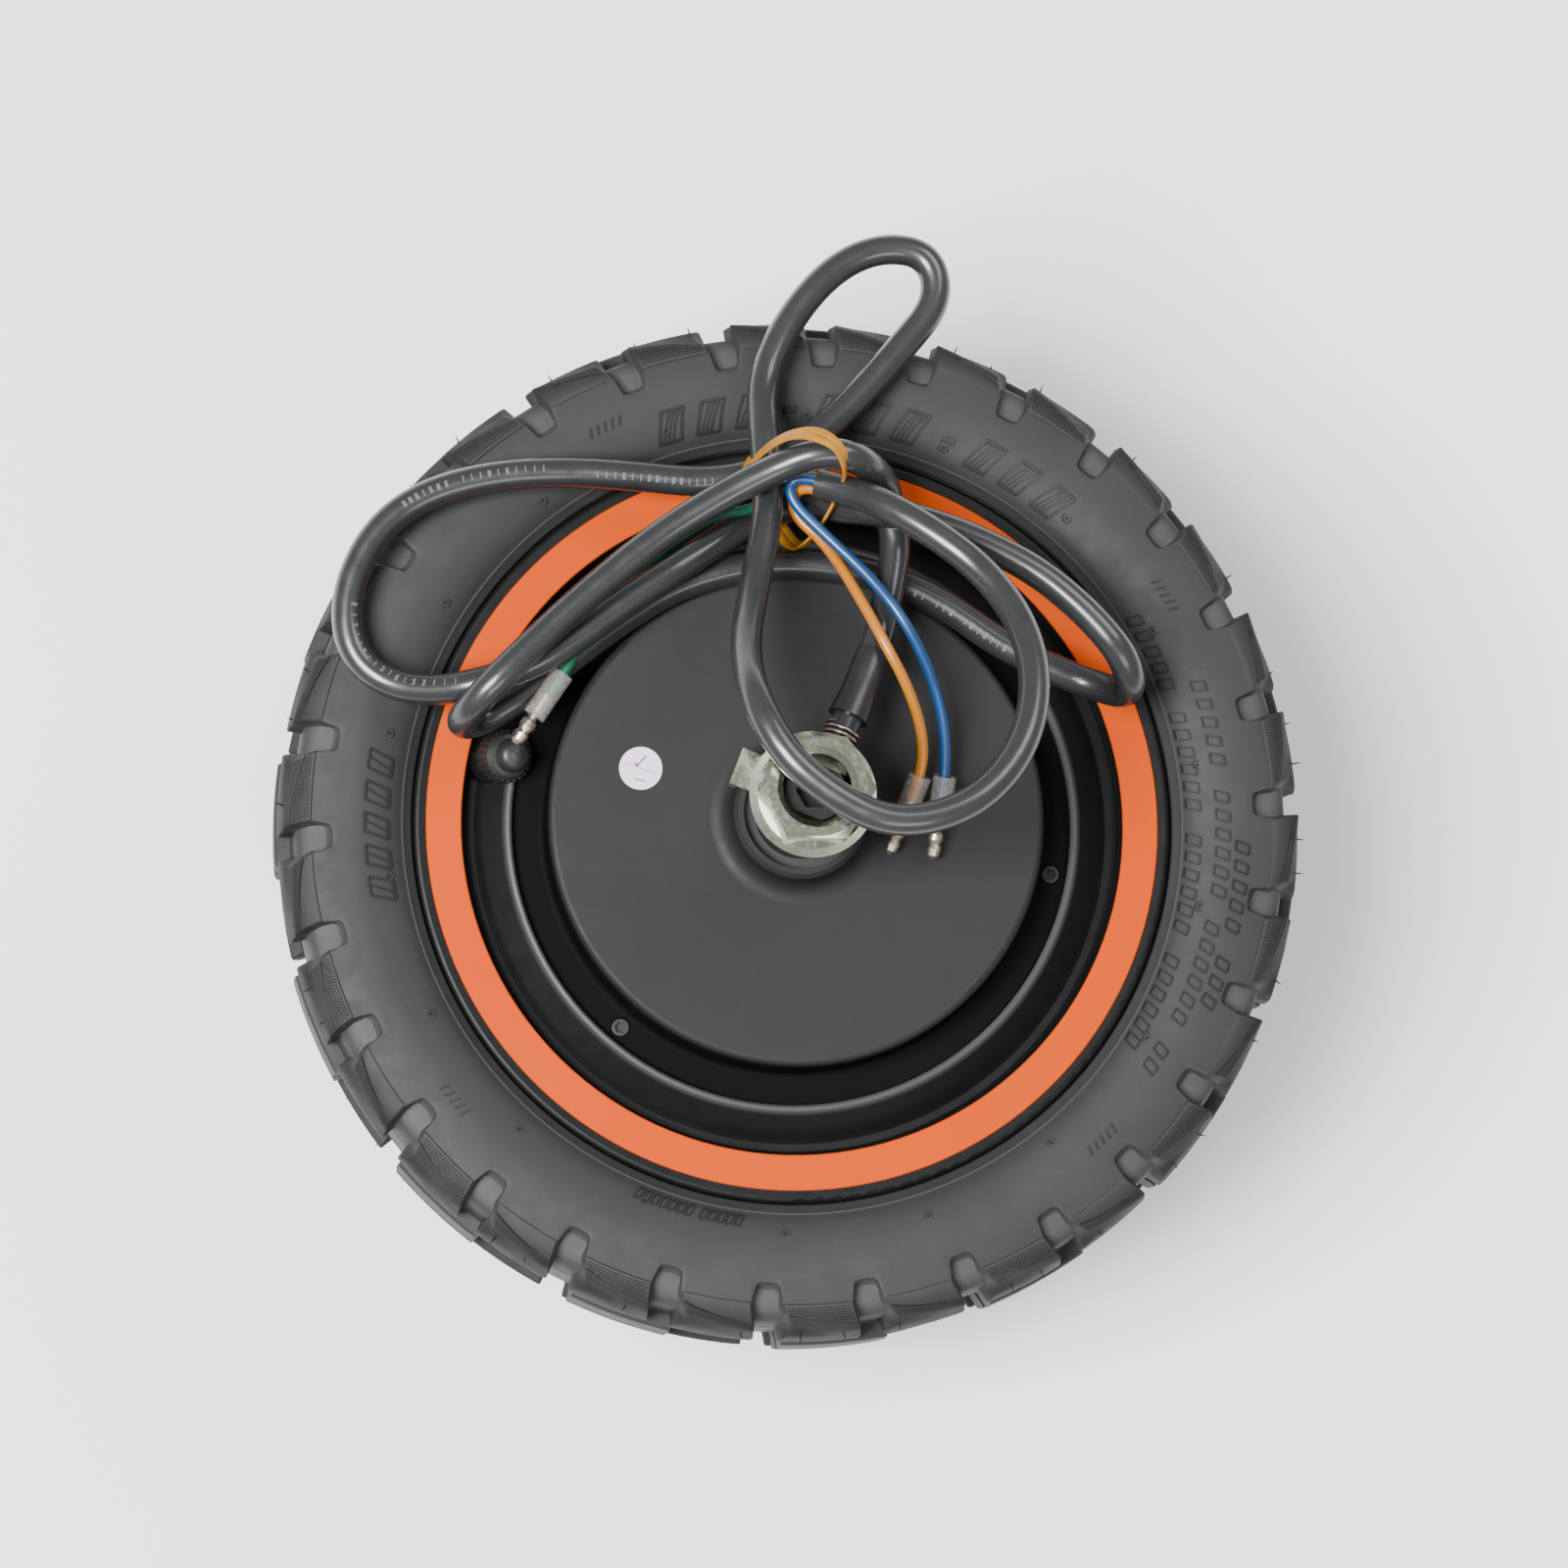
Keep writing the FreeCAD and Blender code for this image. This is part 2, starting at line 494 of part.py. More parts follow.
def tyre():
    """Tubeless tyre: one closed carcass of revolution with notches between its shoulder lugs."""
    outer = [(BEAD_R + 0.1, 16.0), (BEAD_R + 0.1, 23.9), (83.9, 24.95), (92.5, 24.95), (93.9, 26.6),
             (93.6, 28.9), (95.2, 30.3), (103.0, 34.3, 98.6, 32.9), (111.0, TYRE_HALF, 107.0, 35.1),
             (119.5, 34.0, 115.4, 34.9), (124.6, 30.4, 122.6, 32.8), (126.9, 16.0, 126.3, 23.6),
             (126.9, -16.0, TYRE_R, 0)]
    inner = [(120.6, -12.0), (120.6, 12.0, 121.4, 0), (107.0, 29.0, 117.0, 24.6), (94.0, 24.0, 99.6, 28.4),
             (90.0, 18.6)]
    mirrored = []
    previous = None
    for step in reversed(outer[:-1]):
        bulge = () if previous is None or len(previous) == 2 else (previous[2], -previous[3])
        mirrored.append((step[0], -step[1]) + bulge)
        previous = step
    mirrored[0] = outer[-1]
    lower_inner = [(90.0, -18.6), (94.0, -24.0), (107.0, -29.0, 99.6, -28.4), (120.6, -12.0, 117.0, -24.6)]
    body = spun(outer[:-1] + mirrored + lower_inner + inner[1:])
    half = NOTCH_WIDTH / 2
    shoulder = box(115, 130, -half, half, 30.4, 40).fuse(Part.makeCylinder(half, 9.6, Vector(115, 0, 30.4)))
    crown = box(123.6, 130, -half, half, 12, 40)
    notch = shoulder.fuse(crown)
    cuts = around(notch, LUGS, 2.6) + [flipped(s) for s in around(notch, LUGS, -2.6)]
    return body.cut(Part.makeCompound(cuts))


def inspection_sticker():
    return Part.makeCylinder(5.3, 0.15, Vector(-38.2, 11.6, COVER_TOP))


# ---- the lead and what is on it ----
def cable_spring():
    """Close-wound spring where the cable leaves the axle, as a ribbed sleeve."""
    turns, pitch, inner, outer = 7, 1.35, CABLE_R + 0.1, CABLE_R + 0.95
    outline = [(inner, 0)]
    for i in range(turns):
        outline += [(outer - 0.35, i * pitch), (outer, (i + 0.5) * pitch, outer - 0.12, (i + 0.15) * pitch),
                    (outer - 0.35, (i + 1) * pitch, outer - 0.12, (i + 0.85) * pitch)]
    outline.append((inner, turns * pitch))
    start = point_between(CABLE[0], CABLE[1], 3.6)
    return placed_along(spun(outline), start, CABLE[1])


def cable_sleeve():
    """Heat-shrink sleeve over the first stretch of cable."""
    path = [point_between(CABLE[0], CABLE[1], 13.2), CABLE[1], point_between(CABLE[1], CABLE[2], 16.0)]
    return cord("cable_sleeve", path, CABLE_R + 0.65).cut(cord("sleeve bore", path, CABLE_R + 0.22))


def bullet(colour):
    """Tinned bullet terminal crimped on the wire's end."""
    end = WIRES[colour][-1]
    body = spun([(0, 0.05), (1.7, 0.05), (1.7, 5.0), (1.15, 5.6), (1.15, 7.0), (1.9, 7.6), (2.0, 9.0),
                 (1.5, 10.2), (1.95, 11.2), (1.7, 13.0), (0.9, 14.0), (0, 14.2)])
    return placed_along(body, end, BULLET_TIPS[colour])


def bullet_sleeve(colour):
    """Clear insulating sleeve over the crimp."""
    end, tip = WIRES[colour][-1], BULLET_TIPS[colour]
    back = point_between(end, tip, -6.5)
    body = spun([(2.35, 0), (2.8, 0), (2.8, 12.5), (2.35, 12.5)])
    return placed_along(body, back, tip)


def write_axle_group():
    save("axle_shaft", axle_shaft())
    save("stator_key", key_block())
    save("tab_washer_upper", tab_washer())
    save("plain_washer_lower", flipped(turned(keyed_washer(), TAB_ANGLE)))
    save("axle_nut_upper", axle_nut())
    save("axle_nut_lower", flipped(axle_nut()))
    save("stator_carrier", stator_carrier())
    save("stator_core", stator_core())
    save("stator_windings", *stator_windings())
    save("hall_sensor_board", hall_sensor_board())
    save("hall_board_posts", *hall_board_posts())
    save("hall_sensors", *hall_sensors())
    save("inner_lead_bundle", inner_lead_bundle())


def write_bearings():
    for side, place in (("upper", lambda s: s), ("lower", flipped)):
        save("bearing_%s_inner_race" % side, place(bearing_inner_race()))
        save("bearing_%s_outer_race" % side, place(bearing_outer_race()))
        save("bearing_%s_balls" % side, *[place(b) for b in bearing_balls(BALL_R)])
        save("bearing_%s_cage" % side, place(bearing_cage()))


def write_wheel_group():
    save("upper_cover", upper_cover())
    save("lower_cover", lower_cover())
    for side, place in (("upper", lambda s: s), ("lower", flipped)):
        save("%s_cover_gasket" % side, place(cover_gasket()))
        save("%s_cover_screws" % side, *[place(s) for s in cover_screws()])
        save("shaft_seal_%s" % side, place(shaft_seal()))
        save("rim_trim_ring_%s" % side, place(rim_trim_ring()))
    save("rim_shell", rim_shell())
    save("flux_ring", tube(FLUX_R[0], FLUX_R[1], -FLUX_HALF, FLUX_HALF))
    save("rotor_magnets", *rotor_magnets())
    save("valve_stem", valve_stem())
    save("valve_core", valve_core())
    save("valve_grommet", valve_grommet())
    save("valve_nut", valve_nut())
    save("valve_cap", valve_cap())
    save("tyre", tyre())
    save("inspection_sticker", inspection_sticker())


def write_lead_group():
    save("main_cable", cord("main_cable", CABLE, CABLE_R))
    save("cable_spring", cable_spring())
    save("cable_sleeve", cable_sleeve())
    save("rubber_band", cord("rubber_band", BAND, BAND_R, closed=True))
    for colour in WIRES:
        save("%s_wire" % colour, cord("%s_wire" % colour, WIRES[colour], WIRE_R))
        save("%s_bullet" % colour, bullet(colour))
        save("%s_bullet_sleeve" % colour, bullet_sleeve(colour))


write_axle_group()
write_bearings()
write_wheel_group()
write_lead_group()
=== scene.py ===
"""Looks of the hub motor wheel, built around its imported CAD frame.

Lengths are in millimetres and angles in degrees, except that the studio is in metres.
"""
import math
import random

import bpy
from mathutils import Matrix, Vector


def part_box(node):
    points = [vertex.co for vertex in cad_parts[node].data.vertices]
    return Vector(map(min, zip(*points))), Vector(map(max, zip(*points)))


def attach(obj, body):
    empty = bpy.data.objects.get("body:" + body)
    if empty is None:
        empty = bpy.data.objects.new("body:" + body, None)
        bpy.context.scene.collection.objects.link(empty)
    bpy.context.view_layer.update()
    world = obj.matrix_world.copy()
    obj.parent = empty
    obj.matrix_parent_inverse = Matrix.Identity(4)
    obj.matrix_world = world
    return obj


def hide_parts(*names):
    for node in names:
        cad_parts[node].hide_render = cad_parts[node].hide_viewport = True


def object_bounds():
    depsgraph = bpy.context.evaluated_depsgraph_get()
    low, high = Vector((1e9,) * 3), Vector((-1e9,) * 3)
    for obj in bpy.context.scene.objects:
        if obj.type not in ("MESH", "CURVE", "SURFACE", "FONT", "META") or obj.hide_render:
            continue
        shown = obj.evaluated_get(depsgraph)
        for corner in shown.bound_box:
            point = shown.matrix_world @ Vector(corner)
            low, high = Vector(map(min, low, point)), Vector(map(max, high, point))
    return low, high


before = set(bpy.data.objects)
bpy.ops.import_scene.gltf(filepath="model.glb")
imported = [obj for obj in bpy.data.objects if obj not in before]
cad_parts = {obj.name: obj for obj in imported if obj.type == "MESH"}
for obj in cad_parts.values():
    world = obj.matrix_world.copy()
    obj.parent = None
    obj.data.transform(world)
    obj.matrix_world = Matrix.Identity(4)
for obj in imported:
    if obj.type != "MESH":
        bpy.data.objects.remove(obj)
cad_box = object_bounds()

MM = 0.001
WHEEL, AXLE = "wheel", "axle_assembly"
DICE = random.Random(7)


# ---------------------------------------------------------------- camera, light, floor
CAMERA_LENS, SENSOR_WIDTH = 119.0, 36.0    # in millimetres, as on a real lens
CAMERA_AWAY = (-0.083, -0.135, 0.987)      # direction from the wheel to the camera
CAMERA_AIM = (0, 0.0135, 0)
CAMERA_DISTANCE = 1.3
WORLD_STRENGTH = 0.44
FLOOR_HALF, FLOOR_GAP = 4.0, 0.0006        # the floor lies just under the wheel's lowest point
LAMPS = {                                  # place, size and power; all of them aim at the origin
    "key": ((-0.85, -0.25, 1.8), (0.7, 0.9), 104),
    "side": ((0.9, 0.9, 1.4), (0.8, 0.9), 14),
    "front": ((0.5, -1.4, 1.6), (1.1, 0.7), 14),
}


def make_camera():
    data = bpy.data.cameras.new("camera")
    data.lens, data.sensor_width = CAMERA_LENS, SENSOR_WIDTH
    away = Vector(CAMERA_AWAY).normalized()
    right = Vector((0, 1, 0)).cross(away).normalized()
    up = away.cross(right)
    camera = bpy.data.objects.new("camera", data)
    turn = Matrix((right, up, away)).transposed().to_4x4()
    camera.matrix_world = Matrix.Translation(Vector(CAMERA_AIM) + away * CAMERA_DISTANCE) @ turn
    bpy.context.collection.objects.link(camera)
    bpy.context.scene.camera = camera


def area_light(name, place, size, watts):
    data = bpy.data.lights.new(name, "AREA")
    data.shape, data.size, data.size_y = "RECTANGLE", size[0], size[1]
    data.energy = watts
    lamp = bpy.data.objects.new(name, data)
    lamp.location = place
    lamp.rotation_euler = (-Vector(place)).to_track_quat("-Z", "Y").to_euler()
    bpy.context.collection.objects.link(lamp)


def make_studio():
    world = bpy.data.worlds.new("studio")
    world.use_nodes = True
    background = world.node_tree.nodes["Background"]
    background.inputs[0].default_value = (1.0, 1.0, 1.0, 1)
    background.inputs[1].default_value = WORLD_STRENGTH
    bpy.context.scene.world = world
    for name, (place, size, watts) in LAMPS.items():
        area_light(name, place, size, watts)
    h, z = FLOOR_HALF, cad_box[0][2] - FLOOR_GAP
    mesh = bpy.data.meshes.new("floor")
    mesh.from_pydata([(-h, -h, z), (h, -h, z), (h, h, z), (-h, h, z)], [], [(0, 1, 2, 3)])
    floor = bpy.data.objects.new("floor", mesh)
    bpy.context.collection.objects.link(floor)
    mesh.materials.append(Surface("floor_paint", (0.96, 0.96, 0.96), 0.6).material)


# ---------------------------------------------------------------- materials
class Surface:
    """A Principled material with mottled colour, uneven gloss and a fine bump, all from noise."""

    def __init__(self, name, color, rough, metal=0.0, mottle=0.0, mottle_size=6.0, rough_spread=0.06,
                 bump=0.0, bump_size=0.6, coat=0.0, specular=0.5):
        self.material = bpy.data.materials.new(name)
        self.material.use_nodes = True
        self.tree = self.material.node_tree
        self.shader = self.tree.nodes["Principled BSDF"]
        self.set("Metallic", metal)
        self.set("Coat Weight", coat)
        self.set("Coat Roughness", 0.08)
        self.set("Specular IOR Level", specular)
        self.place = self.node("ShaderNodeTexCoord").outputs["Object"]
        broad = self.noise(mottle_size, 4)
        self.color = self.blend_colors(self.spread(broad, 0.3, 0.7), [c * (1 - mottle) for c in color],
                                       [min(1, c * (1 + mottle)) for c in color])
        self.link(self.color, self.shader.inputs["Base Color"])
        fine = self.noise(mottle_size * 0.23, 3)
        self.link(self.spread(fine, 0.25, 0.75, rough - rough_spread, rough + rough_spread),
                  self.shader.inputs["Roughness"])
        self.normal = None
        if bump:
            self.add_bump(self.noise(bump_size, 2), bump)

    def set(self, socket, value):
        self.shader.inputs[socket].default_value = value

    def node(self, kind, **inputs):
        made = self.tree.nodes.new(kind)
        for key, value in inputs.items():
            made.inputs[key].default_value = value
        return made

    def link(self, out, into):
        self.tree.links.new(out, into)

    def radius(self):
        x, y = self.axis("X"), self.axis("Y")
        return self.math("SQRT", self.math("ADD", self.math("MULTIPLY", x, x), self.math("MULTIPLY", y, y)))

    def noise(self, size, detail):
        """Noise whose features are about size millimetres across."""
        made = self.node("ShaderNodeTexNoise", Scale=1000.0 / size, Detail=detail, Roughness=0.6)
        self.link(self.place, made.inputs["Vector"])
        return made.outputs["Fac"]

    def spread(self, value, low, high, to_low=0.0, to_high=1.0):
        made = self.node("ShaderNodeMapRange")
        for i, number in enumerate((low, high, to_low, to_high), start=1):
            made.inputs[i].default_value = number
        self.link(value, made.inputs[0])
        return made.outputs[0]

    def blend_colors(self, factor, first, second):
        made = self.tree.nodes.new("ShaderNodeMix")
        made.data_type = "RGBA"
        self.link(factor, made.inputs["Factor"])
        for socket, value in ((made.inputs[6], first), (made.inputs[7], second)):
            if isinstance(value, (tuple, list)):
                socket.default_value = (*value[:3], 1)
            else:
                self.link(value, socket)
        return made.outputs[2]

    def math(self, operation, a, b=0.0, c=0.0):
        made = self.tree.nodes.new("ShaderNodeMath")
        made.operation = operation
        for socket, value in zip(made.inputs, (a, b, c)):
            if isinstance(value, (int, float)):
                socket.default_value = value
            else:
                self.link(value, socket)
        return made.outputs[0]

    def add_bump(self, height, distance):
        """Raise the surface by up to distance millimetres where height is 1."""
        made = self.node("ShaderNodeBump", Strength=1.0, Distance=distance * MM)
        self.link(height, made.inputs["Height"])
        if self.normal:
            self.link(self.normal, made.inputs["Normal"])
        self.normal = made.outputs["Normal"]
        self.link(self.normal, self.shader.inputs["Normal"])

    def recolor(self, color):
        self.color = color
        self.link(color, self.shader.inputs["Base Color"])

    def attribute(self, name):
        made = self.tree.nodes.new("ShaderNodeAttribute")
        made.attribute_name = name
        return made.outputs["Fac"]

    def axis(self, which):
        made = self.tree.nodes.new("ShaderNodeSeparateXYZ")
        self.link(self.place, made.inputs[0])
        return made.outputs[which]


TREAD_END_R = (118.0, 124.0)   # radii over which painted shade darkens the lugs' outer ends
TREAD_END_Z = (16.5, 21.0)     # and heights, which leave the centre blocks out
RECESS_Z, PLATE_Z = 34.0, 38.4 # painted shade makes the cover black below the first height; above the second it keeps its own grey
RIDGE_R = 69.5                 # the rim's ridge, lightened by a painted highlight
THREAD_START, THREAD_PITCH, THREAD_DEPTH = 70.0, 1.5, 0.35


def tyre_surface():
    """Moulded rubber: dusty, lighter in the notches, with painted shade making the lugs' outer ends darker
    and duller.
    """
    rubber = Surface("tyre_rubber", (0.021, 0.0223, 0.0218), 0.62, mottle=0.10, mottle_size=30,
                     rough_spread=0.07, bump=0.03, bump_size=0.7)
    tint = rubber.attribute("tint")
    rubber.recolor(rubber.blend_colors(tint, rubber.color, (0.060, 0.063, 0.059)))
    dust = rubber.spread(rubber.noise(3.5, 6), 0.62, 0.80, 0.0, 0.10)
    rubber.recolor(rubber.blend_colors(dust, rubber.color, (0.10, 0.10, 0.097)))
    # painted shade: the lugs' outer ends, which face away from the light, are darkened and given less
    # reflection
    height = rubber.math("ABSOLUTE", rubber.axis("Z"))
    outer = rubber.spread(rubber.radius(), *(r * MM for r in TREAD_END_R))
    shoulder = rubber.spread(height, *(z * MM for z in TREAD_END_Z))
    ends = rubber.math("MULTIPLY", outer, shoulder)
    rubber.recolor(rubber.blend_colors(ends, rubber.color, (0.011, 0.0115, 0.011)))
    rubber.link(rubber.spread(ends, 0.0, 1.0, 0.30, 0.10), rubber.shader.inputs["Specular IOR Level"])
    return rubber.material


def plated_surface():
    """Yellow-passivated zinc: greenish white with violet, straw and green patches."""
    zinc = Surface("zinc_plate", (0.50, 0.52, 0.42), 0.20, metal=1.0, mottle=0.06, mottle_size=5,
                   rough_spread=0.08, bump=0.012, bump_size=0.5)
    violet = zinc.spread(zinc.noise(3.0, 3), 0.50, 0.66, 0.0, 0.55)
    straw = zinc.spread(zinc.noise(4.5, 2), 0.52, 0.68, 0.0, 0.5)
    green = zinc.spread(zinc.noise(2.2, 2), 0.40, 0.62, 0.0, 0.7)
    color = zinc.blend_colors(violet, zinc.color, (0.55, 0.47, 0.66))
    color = zinc.blend_colors(straw, color, (0.72, 0.70, 0.40))
    zinc.recolor(zinc.blend_colors(green, color, (0.40, 0.50, 0.34)))
    return zinc.material


def axle_surface():
    """Blackened steel, with rings of thread towards both ends."""
    steel = Surface("axle_steel", (0.020, 0.020, 0.021), 0.42, metal=0.7, mottle=0.3, mottle_size=3,
                    bump=0.02, bump_size=0.5)
    z = steel.axis("Z")
    wave = steel.math("PINGPONG", z, THREAD_PITCH * MM / 2)
    rings = steel.math("MULTIPLY", wave, 2 / (THREAD_PITCH * MM))
    beyond = steel.math("GREATER_THAN", steel.math("ABSOLUTE", z), THREAD_START * MM)
    steel.add_bump(steel.math("MULTIPLY", rings, beyond), THREAD_DEPTH)
    return steel.material


def clear_surface():
    vinyl = Surface("clear_vinyl", (0.86, 0.83, 0.78), 0.25, mottle=0.05, mottle_size=4,
                    bump=0.03, bump_size=2)
    vinyl.set("Transmission Weight", 0.85)
    vinyl.set("IOR", 1.3)
    vinyl.set("Alpha", 0.55)
    return vinyl.material


def cover_surface():
    """Matt grey on the raised plate, with painted shade making the recess round it nearly black and dull."""
    paint = Surface("cover_paint", (0.0125, 0.0132, 0.0125), 0.56, mottle=0.06, mottle_size=35,
                    bump=0.020, bump_size=0.45)
    # painted shade: the recess round the plate is painted nearly black and its reflection turned down
    z = paint.math("ABSOLUTE", paint.axis("Z"))
    raised = paint.spread(z, RECESS_Z * MM, PLATE_Z * MM)
    paint.recolor(paint.blend_colors(raised, (0.005, 0.005, 0.005), paint.color))
    gloss = paint.spread(z, RECESS_Z * MM, PLATE_Z * MM, 0.02, 0.22)
    paint.link(gloss, paint.shader.inputs["Specular IOR Level"])
    return paint.material


def rim_surface():
    """Satin black, with a painted highlight making it lighter along the ridge between the rim's well and the
    cover.
    """
    paint = Surface("rim_paint", (0.005, 0.005, 0.0055), 0.42, mottle=0.10, mottle_size=25,
                    bump=0.015, bump_size=0.9, specular=0.16)
    # painted highlight: the paint is lighter in a band about the ridge's radius
    off = paint.math("ABSOLUTE", paint.math("SUBTRACT", paint.radius(), RIDGE_R * MM))
    ridge = paint.spread(off, 0.5 * MM, 2.0 * MM, 0.9, 0.0)
    paint.recolor(paint.blend_colors(ridge, paint.color, (0.060, 0.063, 0.062)))
    return paint.material


def cable_surface(name, color, rough=0.34, coat=0.25):
    jacket = Surface(name, color, rough, mottle=0.10, mottle_size=18, rough_spread=0.07,
                     bump=0.03, bump_size=5, coat=coat)
    scuff = jacket.spread(jacket.noise(1.4, 5), 0.66, 0.82, 0.0, 0.25)
    jacket.recolor(jacket.blend_colors(scuff, jacket.color, [min(1, c * 3 + 0.03) for c in color]))
    return jacket.material


def plain(name, *args, **kwargs):
    return Surface(name, *args, **kwargs).material


def make_materials():
    return {
        "tyre": tyre_surface(),
        "rim": rim_surface(),
        "cover": cover_surface(),
        "orange": plain("accent_orange", (0.50, 0.055, 0.0), 0.42, mottle=0.03, mottle_size=40,
                        rough_spread=0.05, bump=0.010, bump_size=2.2, specular=0.08),
        "zinc": plated_surface(),
        "axle": axle_surface(),
        "steel": plain("bright_steel", (0.55, 0.56, 0.57), 0.28, metal=1.0, mottle=0.06, mottle_size=4),
        "screw": plain("screw_steel", (0.020, 0.020, 0.021), 0.45, metal=0.5, mottle=0.2, mottle_size=1.5),
        "cast": plain("cast_aluminium", (0.50, 0.51, 0.52), 0.5, metal=1.0, mottle=0.1, mottle_size=5,
                      bump=0.08),
        "lamination": plain("lamination_steel", (0.16, 0.16, 0.18), 0.5, metal=0.8, mottle=0.1,
                            mottle_size=2),
        "copper": plain("enamelled_copper", (0.50, 0.17, 0.06), 0.3, metal=0.8, mottle=0.15, mottle_size=2),
        "magnet": plain("magnet_nickel", (0.55, 0.55, 0.57), 0.25, metal=1.0, mottle=0.05),
        "board": plain("circuit_board", (0.01, 0.12, 0.04), 0.35, mottle=0.2, mottle_size=2),
        "plastic": plain("moulded_plastic", (0.016, 0.016, 0.017), 0.42, mottle=0.12, mottle_size=3,
                         bump=0.02),
        "gasket": plain("gasket_rubber", (0.02, 0.02, 0.02), 0.7, mottle=0.1, mottle_size=3),
        "brass": plain("valve_brass", (0.62, 0.50, 0.28), 0.30, metal=1.0, mottle=0.12, mottle_size=2),
        "sticker": plain("sticker_film", (0.74, 0.62, 0.74), 0.5, mottle=0.03, mottle_size=4),
        # painted shade: the marks' rubber is darker than the tyre's to stand for the shadows round the raised
        # marks
        "mark": plain("mark_rubber", (0.010, 0.0105, 0.010), 0.55, mottle=0.1, specular=0.25),
        "knurl": plain("knurl_rubber", (0.006, 0.0063, 0.006), 0.7, mottle=0.1, specular=0.15),
        "ink": plain("sticker_ink", (0.23, 0.13, 0.32), 0.6, mottle=0.05),
        "jacket": cable_surface("cable_jacket", (0.019, 0.020, 0.021), 0.31, 0.35),
        "shrink": cable_surface("shrink_sleeve", (0.012, 0.012, 0.013), 0.38, 0.15),
        "legend": plain("cable_print", (0.090, 0.094, 0.094), 0.6, mottle=0.25, mottle_size=0.8),
        "spring": plain("spring_steel", (0.36, 0.30, 0.25), 0.30, metal=1.0, mottle=0.25, mottle_size=1.2),
        "band": plain("band_rubber", (0.36, 0.15, 0.008), 0.50, mottle=0.16, mottle_size=3, bump=0.05,
                      bump_size=0.8, specular=0.4),
        "yellow": cable_surface("wire_yellow", (0.38, 0.125, 0.003), 0.36),
        "blue": cable_surface("wire_blue", (0.002, 0.038, 0.13), 0.36),
        "green": cable_surface("wire_green", (0.006, 0.115, 0.055), 0.36),
        "tinned": plain("tinned_brass", (0.52, 0.45, 0.37), 0.34, metal=1.0, mottle=0.2, mottle_size=1.2,
                        bump=0.04, bump_size=0.6),
        "clear": clear_surface(),
    }


NODE_MATERIALS = {
    "axle_shaft": "axle", "axle_nut_upper": "zinc", "axle_nut_lower": "zinc", "tab_washer_upper": "zinc",
    "plain_washer_lower": "zinc", "stator_key": "steel", "stator_carrier": "cast",
    "stator_core": "lamination",
    "stator_windings": "copper", "hall_sensor_board": "board", "hall_board_posts": "plastic",
    "hall_sensors": "plastic", "inner_lead_bundle": "jacket", "upper_cover": "cover", "lower_cover": "cover",
    "upper_cover_gasket": "gasket", "lower_cover_gasket": "gasket", "upper_cover_screws": "screw",
    "lower_cover_screws": "screw", "shaft_seal_upper": "gasket", "shaft_seal_lower": "gasket",
    "rim_trim_ring_upper": "orange", "rim_trim_ring_lower": "orange", "rim_shell": "rim",
    "flux_ring": "lamination",
    "rotor_magnets": "magnet", "valve_stem": "brass", "valve_core": "brass", "valve_grommet": "gasket",
    "valve_nut": "brass", "valve_cap": "plastic",
}


def paint_nodes(materials):
    for name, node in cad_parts.items():
        key = NODE_MATERIALS.get(name)
        for colour in ("yellow", "blue", "green"):
            key = {colour + "_bullet": "tinned", colour + "_bullet_sleeve": "clear"}.get(name, key)
        if name.startswith("bearing_"):
            key = "plastic" if name.endswith("cage") else "steel"
        if key:
            node.data.materials.clear()
            node.data.materials.append(materials[key])


# ---------------------------------------------------------------- mesh helpers
def polar(radius, degrees, z):
    angle = math.radians(degrees)
    return (radius * math.cos(angle), radius * math.sin(angle), z)


def turns(count):
    """Angles in radians of points set evenly round a circle."""
    return [2 * math.pi * k / count for k in range(count)]


def mesh_piece(name, points, faces, material, body, sharp=35, replaced=()):
    mesh = bpy.data.meshes.new(name)
    mesh.from_pydata([(x * MM, y * MM, z * MM) for x, y, z in points], [], faces)
    mesh.validate()
    mesh.polygons.foreach_set("use_smooth", [True] * len(mesh.polygons))
    mesh.set_sharp_from_angle(angle=math.radians(sharp))
    mesh.materials.append(material)
    piece = bpy.data.objects.new(name, mesh)
    bpy.context.collection.objects.link(piece)
    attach(piece, body)
    if replaced:
        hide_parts(*replaced)
    return piece


class Heap:
    """Gathers many small closed shapes into one mesh."""

    def __init__(self):
        self.points, self.faces = [], []

    def add(self, points, faces):
        start = len(self.points)
        self.points += [tuple(p) for p in points]
        self.faces += [tuple(start + i for i in face) for face in faces]

    def prism(self, bottom, top):
        """Closed solid between two matching loops, counted anticlockwise seen from the top."""
        n = len(bottom)
        sides = [(i, (i + 1) % n, n + (i + 1) % n, n + i) for i in range(n)]
        self.add(list(bottom) + list(top), sides + [tuple(reversed(range(n))), tuple(range(n, 2 * n))])

    def tube(self, path, radius, sides=8, closed=False):
        """Round rod along a list of points; radius may be a list."""
        path = [Vector(p) for p in path]
        count = len(path)
        radii = radius if isinstance(radius, (list, tuple)) else [radius] * count
        side = None
        points = []
        for i, here in enumerate(path):
            ahead = path[(i + 1) % count] if closed or i < count - 1 else here
            back = path[i - 1] if closed or i else here
            way = (ahead - back).normalized()
            side = way.orthogonal() if side is None else side - way * side.dot(way)
            side = side.normalized()
            other = way.cross(side)
            points += [here + (side * math.cos(a) + other * math.sin(a)) * radii[i]
                       for a in turns(sides)]
        spans = count if closed else count - 1
        faces = [(i * sides + k, i * sides + (k + 1) % sides, (i + 1) % count * sides + (k + 1) % sides,
                  (i + 1) % count * sides + k) for i in range(spans) for k in range(sides)]
        if not closed:
            faces += [tuple(reversed(range(sides))), tuple(range((count - 1) * sides, count * sides))]
        self.add(points, faces)


